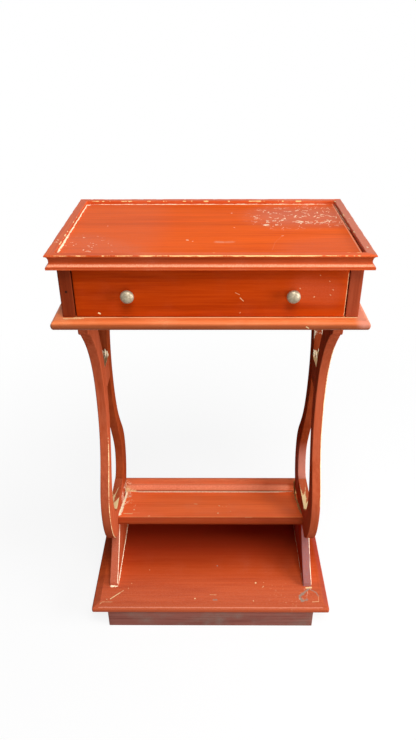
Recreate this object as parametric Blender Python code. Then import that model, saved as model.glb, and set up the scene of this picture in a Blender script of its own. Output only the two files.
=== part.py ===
"""Side table with a tray top, one drawer, lyre ends, a tilted book trough and a plinth.

Metres, +Z up. The front faces -Y, left is -X, and the origin lies on the floor under the middle.
"""

import math

import bmesh
import bpy
from mathutils import Matrix, Vector
from mathutils.geometry import interpolate_bezier

# Clearances
FIT = 0.0003
DRAWER_SIDE_GAP = 0.0015
DRAWER_TOP_GAP = 0.0010
DRAWER_FOOT_GAP = 0.0008
EDGE_EASE = 0.0008

# Tray top: a panel with a moulded rim mitred round it
TOP_WIDTH = 0.457
TOP_DEPTH = 0.283
RIM_WIDTH = 0.013
FILLET_HEIGHT = 0.0025
HOLLOW_HEIGHT = 0.0150
HOLLOW_DEPTH = 0.0045
STRIP_HEIGHT = 0.0040
PANEL_DROP = 0.006

# Case round the drawer
TOP_OVERHANG_SIDE = 0.012
TOP_OVERHANG_FRONT = 0.0145
CASE_HEIGHT = 0.0781
CASE_SIDE_THICKNESS = 0.019
CASE_BACK_THICKNESS = 0.012
CASE_BOTTOM_THICKNESS = 0.0152
CASE_BOTTOM_OVERHANG = 0.0165

# Drawer
DRAWER_FRONT_THICKNESS = 0.016
DRAWER_SIDE_THICKNESS = 0.010
DRAWER_BACK_THICKNESS = 0.010
DRAWER_BOTTOM_THICKNESS = 0.004
DRAWER_GROOVE_DEPTH = 0.005
DRAWER_GROOVE_RISE = 0.008
DRAWER_SIDE_DROP = 0.008
STOP_WIDTH = 0.030
STOP_DEPTH = 0.012
STOP_HEIGHT = 0.018
STOP_PLACE = 0.100

# Knobs
KNOB_PLACE = 0.1185
KNOB_DROP = 0.002
KNOB_DIAMETER = 0.020
KNOB_SEAT_DIAMETER = 0.011
KNOB_NECK_DIAMETER = 0.008
KNOB_SEAT_HEIGHT = 0.002
KNOB_NECK_HEIGHT = 0.0045
KNOB_BELLY_HEIGHT = 0.004
KNOB_DOME_HEIGHT = 0.0065
KNOB_BORE_DEPTH = 0.010
KNOB_SCREW_DIAMETER = 0.004
KNOB_SCREW_HEAD_DIAMETER = 0.0085
KNOB_SCREW_HEAD_HEIGHT = 0.0028

# Lyre ends, each of two S-shaped arms with a block at the waist and one at the bottom
LYRE_INSET = 0.0336
LYRE_THICKNESS = 0.016
LYRE_HEIGHT = 0.4887
BOTTOM_HALF = 0.072
ARM_BOTTOM_WIDTH = 0.027
BELLY_HALF = 0.113
BELLY_RISE = 0.091
ARM_BELLY_WIDTH = 0.041
WAIST_HALF = 0.046
WAIST_DROP = 0.1315
ARM_WAIST_WIDTH = 0.028
WAIST_BLOCK_HEIGHT = 0.042
WAIST_BLOCK_FLARE = 0.004
BOTTOM_BLOCK_HEIGHT = 0.048
EAR_SETBACK = 0.025
EAR_LENGTH = 0.054
EAR_HEIGHT = 0.0205
EAR_ROUND = 0.007
EAR_COVE_LENGTH = 0.020
EAR_COVE_DROP = 0.013

# Feet
FOOT_HEIGHT = 0.0915
FOOT_SETBACK = 0.051
TOE_HEIGHT = 0.008
TOE_SLANT = 0.0012
NECK_WIDTH = 0.064

# Book trough
TROUGH_FRONT = 0.0477
TROUGH_RISE = 0.0261
TROUGH_SLOPE = math.radians(20)
SHELF_DEPTH = 0.137
SHELF_THICKNESS = 0.016
RAIL_RISE = 0.0285
RAIL_THICKNESS = 0.014
RAIL_PAST_LYRE = 0.0025

# Base board and plinth
BASE_DEPTH = 0.331
BASE_MARGIN = 0.0285
BASE_THICKNESS = 0.0145
BASE_BEVEL_WIDTH = 0.014
BASE_BEVEL_DROP = 0.0025
BASE_NOSE_ROUND = 0.004
BASE_LOWER_ROUND = 0.003
PLINTH_HEIGHT = 0.0425
PLINTH_THICKNESS = 0.016
PLINTH_SETBACK_SIDE = 0.0295
PLINTH_SETBACK_FRONT = 0.0038
CORNER_BLOCK_LEG = 0.034
CORNER_BLOCK_DROP = 0.006

# Screws and dowels
SCREW_DIAMETER = 0.004
SCREW_HEAD_DIAMETER = 0.008
SCREW_GRIP = 0.024
SCREW_SUNK = 0.0005
FOOT_SCREW_INSET = 0.030
FOOT_DOWEL_DIAMETER = 0.008
FOOT_DOWEL_INSET = 0.010
FOOT_DOWEL_UP = 0.008
FOOT_DOWEL_DOWN = 0.020
TROUGH_DOWEL_DIAMETER = 0.006
TROUGH_DOWEL_IN_LYRE = 0.009
TROUGH_DOWEL_IN_SHELF = 0.020
TROUGH_DOWEL_EDGE = 0.006
DOWEL_SPARE = 0.0015
DOWEL_CHAMFER = 0.001
DRILL_OVERRUN = 0.002

# Handles of the curves, as shares of the stretch that they shape
ARM_SEAT_OUT = 0.55
ARM_SEAT_UP = 0.15
ARM_BELLY_DOWN = 0.5
ARM_BELLY_UP = 0.33
ARM_WAIST_DOWN = 0.67
ARM_WAIST_UP = 0.5
ARM_FLARE_IN = 0.45
ARM_FLARE_DOWN = 0.18
EAR_COVE_SHARE = 0.3
INNER_EAR_IN = 0.33
INNER_EAR_DOWN = 0.28
INNER_WAIST_UP = 0.3
INNER_WAIST_DOWN = 0.5
INNER_BELLY_UP = 0.2
INNER_BELLY_DOWN = 0.5
INNER_SEAT_OUT = 0.25
INNER_BELLY_LIFT = 0.25
TOE_SWEEP_IN = 0.3
TOE_SWEEP_UP = 0.22
NECK_SWEEP_OUT = 0.12
NECK_SWEEP_DOWN = 0.35

# Facets
CURVE_STEPS = 9
ROUND_STEPS = 8
CORNER_STEPS = 4
EASE_STEPS = 2
TURNED_SIDES = 24
FASTENER_SIDES = 14

# Points closer than this are one
WELD = 1e-6

# Finishes: colour, roughness, metallic
RED_STAIN = ((0.42, 0.075, 0.022), 0.36, 0.0)
ORANGE_STAIN = ((0.55, 0.105, 0.025), 0.33, 0.0)
BROWN_STAIN = ((0.24, 0.05, 0.026), 0.45, 0.0)
BARE_WOOD = ((0.55, 0.36, 0.19), 0.65, 0.0)
PEWTER = ((0.46, 0.43, 0.37), 0.38, 1.0)
STEEL = ((0.50, 0.50, 0.50), 0.35, 1.0)

# Heights, worked up from the floor
base_bottom = PLINTH_HEIGHT + FIT
base_top = base_bottom + BASE_THICKNESS
foot_bottom = base_top + FIT
lyre_bottom = foot_bottom + FOOT_HEIGHT + FIT
lyre_top = lyre_bottom + LYRE_HEIGHT
case_bottom_underside = lyre_top + FIT
case_floor = case_bottom_underside + CASE_BOTTOM_THICKNESS
case_foot = case_floor + FIT
case_top = case_foot + CASE_HEIGHT
rim_bottom = case_top + FIT
rim_height = STRIP_HEIGHT + HOLLOW_HEIGHT + FILLET_HEIGHT
panel_thickness = rim_height - PANEL_DROP

# Half sizes, worked down from the top
rim_inner_x = TOP_WIDTH / 2 - RIM_WIDTH
rim_inner_y = TOP_DEPTH / 2 - RIM_WIDTH
case_x = TOP_WIDTH / 2 - TOP_OVERHANG_SIDE
case_y = TOP_DEPTH / 2 - TOP_OVERHANG_FRONT
case_inner_x = case_x - CASE_SIDE_THICKNESS
case_bottom_x = case_x + CASE_BOTTOM_OVERHANG
case_bottom_y = case_y + CASE_BOTTOM_OVERHANG
lyre_outer_x = case_bottom_x - LYRE_INSET
lyre_inner_x = lyre_outer_x - LYRE_THICKNESS
lyre_middle_x = (lyre_outer_x + lyre_inner_x) / 2
ear_reach = case_bottom_y - EAR_SETBACK
ear_middle_y = ear_reach - EAR_LENGTH / 2
base_x = lyre_outer_x + BASE_MARGIN
base_y = BASE_DEPTH / 2
foot_reach = base_y - FOOT_SETBACK
plinth_x = base_x - PLINTH_SETBACK_SIDE
plinth_y = base_y - PLINTH_SETBACK_FRONT
bottom_block_half = BOTTOM_HALF - ARM_BOTTOM_WIDTH
waist_block_half = WAIST_HALF - ARM_WAIST_WIDTH

# Drawer sizes, from the opening that it slides in
drawer_x = case_inner_x - DRAWER_SIDE_GAP
drawer_front_height = CASE_HEIGHT + FIT - DRAWER_FOOT_GAP - DRAWER_TOP_GAP
drawer_side_height = CASE_HEIGHT - DRAWER_SIDE_DROP
stop_front_y = case_y - CASE_BACK_THICKNESS - FIT - STOP_DEPTH
drawer_length = case_y + stop_front_y - FIT
drawer_inner_x = drawer_x - DRAWER_SIDE_THICKNESS
drawer_bottom_rise = DRAWER_GROOVE_RISE + FIT
drawer_bottom_x = drawer_inner_x + DRAWER_GROOVE_DEPTH - FIT
drawer_bottom_start = DRAWER_FRONT_THICKNESS - DRAWER_GROOVE_DEPTH + FIT

SIDES = {"left": -1, "right": 1}
ENDS = {"front": -1, "back": 1}


def new_mesh(name, bm):
    """A mesh with its faces turned outwards, from a bmesh that is then freed."""
    bmesh.ops.recalc_face_normals(bm, faces=bm.faces)
    mesh = bpy.data.meshes.new(name)
    bm.to_mesh(mesh)
    bm.free()
    return mesh


def new_piece(name, mesh, finish, location=(0, 0, 0), rotation=(0, 0, 0), parent=None):
    """One named piece in its own material, placed by its location and rotation."""
    piece = bpy.data.objects.new(name, mesh)
    bpy.context.collection.objects.link(piece)
    piece.location = location
    piece.rotation_euler = rotation
    piece.parent = parent
    colour, roughness, metallic = finish
    material = bpy.data.materials.new(name)
    material.use_nodes = True
    shader = material.node_tree.nodes["Principled BSDF"]
    shader.inputs["Base Color"].default_value = (*colour, 1)
    shader.inputs["Roughness"].default_value = roughness
    shader.inputs["Metallic"].default_value = metallic
    material.diffuse_color = (*colour, 1)
    if not mesh.materials:
        mesh.materials.append(None)
    piece.material_slots[0].link = "OBJECT"
    piece.material_slots[0].material = material
    return piece


def new_empty(name, location, rotation=(0, 0, 0)):
    """An empty that carries the pieces of one sub-assembly."""
    empty = bpy.data.objects.new(name, None)
    bpy.context.collection.objects.link(empty)
    empty.location = location
    empty.rotation_euler = rotation
    return empty


def box_mesh(name, size_x, size_y, size_z):
    """A box that stands on its origin, centred in X and Y."""
    bm = bmesh.new()
    bmesh.ops.create_cube(bm, size=1)
    bmesh.ops.translate(bm, vec=(0, 0, 0.5), verts=bm.verts)
    bmesh.ops.scale(bm, vec=(size_x, size_y, size_z), verts=bm.verts)
    return new_mesh(name, bm)


def ease_edges(piece):
    """Takes the sharpness off a board's corners."""
    bevel = piece.modifiers.new("eased edges", "BEVEL")
    bevel.width = EDGE_EASE
    bevel.segments = EASE_STEPS
    bevel.limit_method = "ANGLE"


def new_board(name, size, finish, location, parent=None):
    """A plain board with eased edges, standing on its location."""
    board = new_piece(name, box_mesh(name, *size), finish, location, parent=parent)
    ease_edges(board)
    return board


def edged_board_mesh(name, half_x, half_y, edge):
    """A board whose four edges carry one profile of (inset, height) pairs, bottom to top, mitred."""
    bm = bmesh.new()
    rings = []
    for inset, height in edge:
        x = half_x - inset
        y = half_y - inset
        corners = ((-x, -y), (x, -y), (x, y), (-x, y))
        rings.append([bm.verts.new((cx, cy, height)) for cx, cy in corners])
    for lower, upper in zip(rings, rings[1:]):
        for i in range(4):
            j = (i + 1) % 4
            bm.faces.new((lower[i], lower[j], upper[j], upper[i]))
    bm.faces.new(rings[0][::-1])
    bm.faces.new(rings[-1])
    return new_mesh(name, bm)


def extruded_mesh(name, outline, length):
    """An outline of (y, z) pairs carried along X, half its length to each side of the origin."""
    bm = bmesh.new()
    face = bm.faces.new([bm.verts.new((-length / 2, y, z)) for y, z in outline])
    grown = bmesh.ops.extrude_face_region(bm, geom=[face])
    carried = [item for item in grown["geom"] if isinstance(item, bmesh.types.BMVert)]
    bmesh.ops.translate(bm, vec=(length, 0, 0), verts=carried)
    return new_mesh(name, bm)


def mitred_mesh(name, inner_half, section):
    """A moulding along X whose ends are mitred: each (out, height) point reaches further by its out."""
    bm = bmesh.new()
    ends = []
    for sign in (-1, 1):
        ends.append([bm.verts.new((sign * (inner_half + out - FIT / 2), -out, h)) for out, h in section])
    count = len(section)
    for i in range(count):
        j = (i + 1) % count
        bm.faces.new((ends[0][i], ends[0][j], ends[1][j], ends[1][i]))
    bm.faces.new(ends[0])
    bm.faces.new(ends[1][::-1])
    return new_mesh(name, bm)


def turned_mesh(name, profile, sides):
    """A turned piece about Z, from a profile of (radius, height) pairs that starts and ends on the axis."""
    bm = bmesh.new()
    points = [bm.verts.new((radius, 0, height)) for radius, height in profile]
    edges = [bm.edges.new(pair) for pair in zip(points, points[1:])]
    turn = {"cent": (0, 0, 0), "axis": (0, 0, 1), "angle": math.tau, "steps": sides, "use_merge": True}
    bmesh.ops.spin(bm, geom=points + edges, **turn)
    bmesh.ops.remove_doubles(bm, verts=bm.verts, dist=WELD)
    return new_mesh(name, bm)


def arc(centre, radius_a, radius_b, start, end, steps=ROUND_STEPS):
    """Points on part of an ellipse, with its start and end given in degrees."""
    turns = [math.radians(start + (end - start) * i / steps) for i in range(steps + 1)]
    return [(centre[0] + radius_a * math.cos(t), centre[1] + radius_b * math.sin(t)) for t in turns]


def curve(knot_a, handle_a, handle_b, knot_b, steps=CURVE_STEPS):
    """Points on one cubic stretch of an outline, without its last point."""
    flat = [Vector((*point, 0)) for point in (knot_a, handle_a, handle_b, knot_b)]
    return [(point.x, point.y) for point in interpolate_bezier(*flat, steps)[:-1]]


def screw_profile(length, ease=0.0, overrun=0.0):
    """Half outline of a countersunk screw, tip at the bottom and head at height 0, grown by its ease."""
    shank = SCREW_DIAMETER / 2
    head = SCREW_HEAD_DIAMETER / 2
    tip = -length - ease
    return [
        (0, tip),
        (shank / 2 + ease, tip),
        (shank + ease, tip + shank),
        (shank + ease, shank - head - ease),
        (head + ease, -ease),
        (head + ease, overrun),
        (0, overrun),
    ]


def dowel_profile(diameter, below, above, ease=0.0):
    """Half outline of a dowel that reaches below and above its seam, grown by its ease."""
    radius = diameter / 2
    return [
        (0, -below - ease),
        (radius - DOWEL_CHAMFER + ease, -below - ease),
        (radius + ease, DOWEL_CHAMFER - below - ease),
        (radius + ease, above - DOWEL_CHAMFER + ease),
        (radius - DOWEL_CHAMFER + ease, above + ease),
        (0, above + ease),
    ]


def knob_screw_profile(length, ease=0.0):
    """Half outline of a round-headed machine screw, its head above height 0, grown by its ease."""
    shank = KNOB_SCREW_DIAMETER / 2
    dome = arc((0, 0), KNOB_SCREW_HEAD_DIAMETER / 2 + ease, KNOB_SCREW_HEAD_HEIGHT, 0, 90)
    shaft = [(0, -length - ease), (shank + ease, -length - ease), (shank + ease, 0)]
    return [*shaft, *dome[:-1], (0, dome[-1][1])]


drill_cutter = bmesh.new()


def add_drilling(profile, matrix):
    """Adds the hole of one fastener to the cutter that drills every board it passes through."""
    mesh = turned_mesh("drilling", profile, FASTENER_SIDES)
    mesh.transform(matrix)
    drill_cutter.from_mesh(mesh)
    bpy.data.meshes.remove(mesh)


def new_fastener(name, profile, hole_profile, finish, location, rotation, parent=None):
    """A screw or dowel, with its hole added to the cutter."""
    mesh = turned_mesh(name, profile, FASTENER_SIDES)
    fastener = new_piece(name, mesh, finish, location, rotation, parent)
    carrier = Matrix.Translation(parent.location) if parent else Matrix.Identity(4)
    turn = fastener.rotation_euler.to_matrix().to_4x4()
    add_drilling(hole_profile, carrier @ Matrix.Translation(location) @ turn)
    return fastener


def cut(piece, cutter):
    """Cuts one piece with a cutter that is left out of the model."""
    boolean = piece.modifiers.new(cutter.name, "BOOLEAN")
    boolean.operation = "DIFFERENCE"
    boolean.solver = "EXACT"
    boolean.object = cutter


def new_cutter(name, mesh):
    """A guide object that is not a piece of the table."""
    cutter = bpy.data.objects.new(name, mesh)
    bpy.context.collection.objects.link(cutter)
    cutter.hide_render = True
    cutter.display_type = "WIRE"
    return cutter


def rim_section():
    """The rim's section as (out, height): plain strip, one hollow, square fillet and inner face."""
    half = HOLLOW_HEIGHT / 2
    hollow = arc((RIM_WIDTH, STRIP_HEIGHT + half), HOLLOW_DEPTH, half, 270, 90, 2 * ROUND_STEPS)
    fillet = [(RIM_WIDTH, rim_height - EDGE_EASE), (RIM_WIDTH - EDGE_EASE, rim_height)]
    return [(0, 0), (RIM_WIDTH, 0), *hollow, *fillet, (0, rim_height)]


def build_top():
    """The tray: a panel inside four mitred mouldings."""
    panel_x = rim_inner_x - FIT
    panel_y = rim_inner_y - FIT
    panel_mesh = box_mesh("top_panel", 2 * panel_x, 2 * panel_y, panel_thickness)
    new_piece("top_panel", panel_mesh, ORANGE_STAIN, (0, 0, rim_bottom))
    section = rim_section()
    long_mesh = mitred_mesh("rim_long", rim_inner_x, section)
    short_mesh = mitred_mesh("rim_short", rim_inner_y, section)
    new_piece("top_rim_front", long_mesh, RED_STAIN, (0, -rim_inner_y, rim_bottom))
    new_piece("top_rim_back", long_mesh, RED_STAIN, (0, rim_inner_y, rim_bottom), (0, 0, math.pi))
    for side, sign in SIDES.items():
        place = (sign * rim_inner_x, 0, rim_bottom)
        new_piece(f"top_rim_{side}", short_mesh, RED_STAIN, place, (0, 0, sign * math.pi / 2))


def build_case():
    """The open-fronted case: two sides, a back, drawer stops, and a bottom with a bullnose edge."""
    side_middle = case_x - CASE_SIDE_THICKNESS / 2
    for side, sign in SIDES.items():
        size = (CASE_SIDE_THICKNESS, 2 * case_y, CASE_HEIGHT)
        new_board(f"case_side_{side}", size, BROWN_STAIN, (sign * side_middle, 0, case_foot))
        stop_size = (STOP_WIDTH, STOP_DEPTH, STOP_HEIGHT)
        stop_place = (sign * STOP_PLACE, stop_front_y + STOP_DEPTH / 2, case_foot)
        new_board(f"drawer_stop_{side}", stop_size, BARE_WOOD, stop_place)
    back_size = (2 * (case_inner_x - FIT), CASE_BACK_THICKNESS, CASE_HEIGHT)
    new_board("case_back", back_size, BROWN_STAIN, (0, case_y - CASE_BACK_THICKNESS / 2, case_foot))
    radius = CASE_BOTTOM_THICKNESS / 2
    half_round = arc((0, 0), radius, radius, -90, 90, 2 * ROUND_STEPS)
    bullnose = [(radius - out, radius + up) for out, up in half_round]
    mesh = edged_board_mesh("case_bottom", case_bottom_x, case_bottom_y, bullnose)
    return [new_piece("case_bottom", mesh, ORANGE_STAIN, (0, 0, case_bottom_underside))]


def knob_profile():
    """Half outline of a knob about Z, from its seat at height 0 to its dome, with a bore for its screw."""
    bore = KNOB_SCREW_DIAMETER / 2 + FIT
    seat = KNOB_SEAT_DIAMETER / 2
    neck = KNOB_NECK_DIAMETER / 2
    head = KNOB_DIAMETER / 2
    neck_top = KNOB_SEAT_HEIGHT + KNOB_NECK_HEIGHT
    rim = neck_top + KNOB_BELLY_HEIGHT
    waist = curve((seat, KNOB_SEAT_HEIGHT), (neck, KNOB_SEAT_HEIGHT), (neck, neck_top), (neck, neck_top))
    belly = arc((neck, rim), head - neck, KNOB_BELLY_HEIGHT, -90, 0)
    dome = arc((0, rim), head, KNOB_DOME_HEIGHT, 0, 90)
    return [
        (0, KNOB_BORE_DEPTH),
        (bore, KNOB_BORE_DEPTH),
        (bore, 0),
        (seat, 0),
        *waist,
        *belly,
        *dome[1:-1],
        (0, rim + KNOB_DOME_HEIGHT),
    ]


def build_drawer():
    """The drawer, carried by an empty at the middle of its front face on the case floor."""
    drawer = new_empty("drawer", (0, -case_y, case_floor))
    front_size = (2 * drawer_x, DRAWER_FRONT_THICKNESS, drawer_front_height)
    front_place = (0, DRAWER_FRONT_THICKNESS / 2, DRAWER_FOOT_GAP)
    front = new_board("drawer_front", front_size, ORANGE_STAIN, front_place, drawer)

    side_start = DRAWER_FRONT_THICKNESS + FIT
    side_length = drawer_length - side_start
    side_middle = drawer_x - DRAWER_SIDE_THICKNESS / 2
    grooved = [front]
    for side, sign in SIDES.items():
        size = (DRAWER_SIDE_THICKNESS, side_length, drawer_side_height)
        place = (sign * side_middle, side_start + side_length / 2, FIT)
        grooved.append(new_board(f"drawer_side_{side}", size, BARE_WOOD, place, drawer))

    bottom_length = drawer_length - drawer_bottom_start
    bottom_size = (2 * drawer_bottom_x, bottom_length, DRAWER_BOTTOM_THICKNESS)
    bottom_place = (0, drawer_bottom_start + bottom_length / 2, FIT + drawer_bottom_rise)
    bottom_mesh = box_mesh("drawer_bottom", *bottom_size)
    new_piece("drawer_bottom", bottom_mesh, BARE_WOOD, bottom_place, parent=drawer)
    back_foot = bottom_place[2] + DRAWER_BOTTOM_THICKNESS + FIT
    back_size = (2 * (drawer_inner_x - FIT), DRAWER_BACK_THICKNESS, drawer_side_height + FIT - back_foot)
    back_place = (0, drawer_length - DRAWER_BACK_THICKNESS / 2, back_foot)
    new_board("drawer_back", back_size, BARE_WOOD, back_place, drawer)

    groove_length = bottom_length + FIT + DRILL_OVERRUN
    groove_size = (bottom_size[0] + 2 * FIT, groove_length, DRAWER_BOTTOM_THICKNESS + 2 * FIT)
    groove = new_cutter("drawer_groove", box_mesh("drawer_groove", *groove_size))
    groove.location = (0, drawer_bottom_start - FIT + groove_length / 2, bottom_place[2] - FIT)
    groove.parent = drawer
    for board in grooved:
        cut(board, groove)

    knob_height = DRAWER_FOOT_GAP + drawer_front_height / 2 - KNOB_DROP
    screw_length = DRAWER_FRONT_THICKNESS + FIT + KNOB_BORE_DEPTH - FIT
    towards_front = (math.pi / 2, 0, 0)
    towards_back = (-math.pi / 2, 0, 0)
    for side, sign in SIDES.items():
        seat = (sign * KNOB_PLACE, -FIT, knob_height)
        mesh = turned_mesh(f"knob_{side}", knob_profile(), TURNED_SIDES)
        mesh.shade_smooth()
        new_piece(f"knob_{side}", mesh, PEWTER, seat, towards_front, drawer)
        head_seat = (sign * KNOB_PLACE, DRAWER_FRONT_THICKNESS + FIT, knob_height)
        profile = knob_screw_profile(screw_length)
        hole = knob_screw_profile(screw_length, FIT)
        new_fastener(f"knob_screw_{side}", profile, hole, STEEL, head_seat, towards_back, drawer)
    return [front]


def arm_outline():
    """The rear arm of a lyre as (y, z), from the seat of its foot up its outer edge and back down inside."""
    foot = (BOTTOM_HALF, 0)
    belly = (BELLY_HALF, BELLY_RISE)
    block_top = LYRE_HEIGHT - WAIST_DROP
    block_bottom = block_top - WAIST_BLOCK_HEIGHT
    waist = (WAIST_HALF, block_bottom)
    rise = block_bottom - BELLY_RISE
    ear_foot = LYRE_HEIGHT - EAR_HEIGHT
    flare = (ear_reach - EAR_COVE_LENGTH, ear_foot - EAR_COVE_DROP)
    climb = flare[1] - waist[1]
    spread = flare[0] - waist[0]
    bead = (ear_reach - EAR_ROUND, ear_foot)
    seat_handle = (foot[0] + (belly[0] - foot[0]) * ARM_SEAT_OUT, BELLY_RISE * ARM_SEAT_UP)
    waist_handle = (waist[0], waist[1] - rise * ARM_WAIST_DOWN)
    flare_handle = (flare[0] - spread * ARM_FLARE_IN, flare[1] - climb * ARM_FLARE_DOWN)
    cove_handle = (flare[0] + EAR_COVE_LENGTH * EAR_COVE_SHARE, ear_foot - EAR_COVE_DROP * EAR_COVE_SHARE)
    outer = [
        *curve(foot, seat_handle, (belly[0], BELLY_RISE * ARM_BELLY_DOWN), belly),
        *curve(belly, (belly[0], BELLY_RISE + rise * ARM_BELLY_UP), waist_handle, waist),
        *curve(waist, (waist[0], waist[1] + climb * ARM_WAIST_UP), flare_handle, flare),
        *curve(flare, cove_handle, bead, bead),
        *arc((bead[0], ear_foot + EAR_ROUND), EAR_ROUND, EAR_ROUND, -90, 0, CORNER_STEPS),
        (ear_reach, LYRE_HEIGHT),
    ]
    ear_inner = (ear_reach - EAR_LENGTH, LYRE_HEIGHT)
    upper = (waist_block_half + WAIST_BLOCK_FLARE, block_top)
    lower = (waist_block_half, block_bottom)
    lean = ear_inner[0] - upper[0]
    hollow = (BELLY_HALF - ARM_BELLY_WIDTH, BELLY_RISE + ARM_BELLY_WIDTH * INNER_BELLY_LIFT)
    seat = (bottom_block_half, BOTTOM_BLOCK_HEIGHT)
    fall = block_bottom - hollow[1]
    dip = hollow[1] - seat[1]
    ear_handle = (ear_inner[0] - lean * INNER_EAR_IN, LYRE_HEIGHT - WAIST_DROP * INNER_EAR_DOWN)
    hollow_handle = (hollow[0], hollow[1] + fall * INNER_BELLY_UP)
    dip_handle = (hollow[0], hollow[1] - dip * INNER_BELLY_DOWN)
    inner = [
        *curve(ear_inner, ear_handle, (upper[0], block_top + WAIST_DROP * INNER_WAIST_UP), upper),
        upper,
        *curve(lower, (lower[0], block_bottom - fall * INNER_WAIST_DOWN), hollow_handle, hollow),
        *curve(hollow, dip_handle, (hollow[0] - dip * INNER_SEAT_OUT, seat[1]), seat),
        seat,
        (bottom_block_half, 0),
    ]
    return outer + inner


def waist_block_outline():
    """The block that ties the two arms at the waist, a little wider at its top, as (y, z)."""
    block_top = LYRE_HEIGHT - WAIST_DROP
    lower = waist_block_half - FIT
    upper = lower + WAIST_BLOCK_FLARE
    block_bottom = block_top - WAIST_BLOCK_HEIGHT
    return [(-lower, block_bottom), (lower, block_bottom), (upper, block_top), (-upper, block_top)]


def foot_outline():
    """A foot as (y, z): a low toe at each end and a sweep up to the neck that carries the lyre."""
    toe = (foot_reach - TOE_SLANT, TOE_HEIGHT)
    neck = (NECK_WIDTH / 2, FOOT_HEIGHT)
    run = toe[0] - neck[0]
    rise = neck[1] - toe[1]
    toe_handle = (toe[0] - run * TOE_SWEEP_IN, toe[1] + rise * TOE_SWEEP_UP)
    neck_handle = (neck[0] + run * NECK_SWEEP_OUT, neck[1] - rise * NECK_SWEEP_DOWN)
    half = [(foot_reach, 0), *curve(toe, toe_handle, neck_handle, neck), neck]
    return half + [(-y, z) for y, z in reversed(half)]


def trough_dowel_place():
    """Where the shelf's middle line, as (y, z), runs inside the lyre's bottom block and above its dowels."""
    down = math.sin(TROUGH_SLOPE)
    along = math.cos(TROUGH_SLOPE)
    start_y = -TROUGH_FRONT - down * SHELF_THICKNESS / 2
    start_z = lyre_bottom + TROUGH_RISE - along * SHELF_THICKNESS / 2
    lowest = lyre_bottom + FOOT_DOWEL_UP + TROUGH_DOWEL_DIAMETER / 2 + DOWEL_SPARE
    first = (TROUGH_DOWEL_EDGE - bottom_block_half - start_y) / along
    last = (start_z - lowest) / down
    middle = (first + last) / 2
    return start_y + along * middle, start_z - down * middle


def build_lyres():
    """Both lyre ends on their feet, with the fasteners that hold them. Returns the drilled pieces."""
    arm_mesh = extruded_mesh("lyre_arm", arm_outline(), LYRE_THICKNESS)
    waist_mesh = extruded_mesh("lyre_waist_block", waist_block_outline(), LYRE_THICKNESS)
    block_size = (LYRE_THICKNESS, 2 * (bottom_block_half - FIT), BOTTOM_BLOCK_HEIGHT)
    block_mesh = box_mesh("lyre_bottom_block", *block_size)
    foot_mesh = extruded_mesh("foot", foot_outline(), LYRE_THICKNESS)
    dowel_y, dowel_z = trough_dowel_place()
    drilled = []
    for side, sign in SIDES.items():
        x = sign * lyre_middle_x
        lyre_seat = (x, 0, lyre_bottom)
        drilled.append(new_piece(f"lyre_front_arm_{side}", arm_mesh, RED_STAIN, lyre_seat, (0, 0, math.pi)))
        drilled.append(new_piece(f"lyre_rear_arm_{side}", arm_mesh, RED_STAIN, lyre_seat))
        new_piece(f"lyre_waist_block_{side}", waist_mesh, RED_STAIN, lyre_seat)
        drilled.append(new_piece(f"lyre_bottom_block_{side}", block_mesh, RED_STAIN, lyre_seat))
        drilled.append(new_piece(f"foot_{side}", foot_mesh, RED_STAIN, (x, 0, foot_bottom)))

        case_screw = CASE_BOTTOM_THICKNESS + SCREW_GRIP
        base_screw = BASE_THICKNESS + SCREW_GRIP
        for end, way in ENDS.items():
            new_fastener(
                f"case_screw_{side}_{end}",
                screw_profile(case_screw),
                screw_profile(case_screw, FIT, SCREW_SUNK + DRILL_OVERRUN),
                STEEL,
                (x, way * ear_middle_y, case_floor - SCREW_SUNK),
                (0, 0, 0),
            )
            new_fastener(
                f"foot_screw_{side}_{end}",
                screw_profile(base_screw),
                screw_profile(base_screw, FIT, SCREW_SUNK + DRILL_OVERRUN),
                STEEL,
                (x, way * (foot_reach - FOOT_SCREW_INSET), base_bottom + SCREW_SUNK),
                (math.pi, 0, 0),
            )
            new_fastener(
                f"foot_dowel_{side}_{end}",
                dowel_profile(FOOT_DOWEL_DIAMETER, FOOT_DOWEL_DOWN, FOOT_DOWEL_UP),
                dowel_profile(FOOT_DOWEL_DIAMETER, FOOT_DOWEL_DOWN, FOOT_DOWEL_UP, FIT),
                BARE_WOOD,
                (x, way * (NECK_WIDTH / 2 - FOOT_DOWEL_INSET), lyre_bottom),
                (0, 0, 0),
            )
        new_fastener(
            f"trough_dowel_{side}",
            dowel_profile(TROUGH_DOWEL_DIAMETER, TROUGH_DOWEL_IN_SHELF, TROUGH_DOWEL_IN_LYRE),
            dowel_profile(TROUGH_DOWEL_DIAMETER, TROUGH_DOWEL_IN_SHELF, TROUGH_DOWEL_IN_LYRE, FIT),
            BARE_WOOD,
            (sign * lyre_inner_x, dowel_y, dowel_z),
            (0, sign * math.pi / 2, 0),
        )
    return drilled


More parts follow.
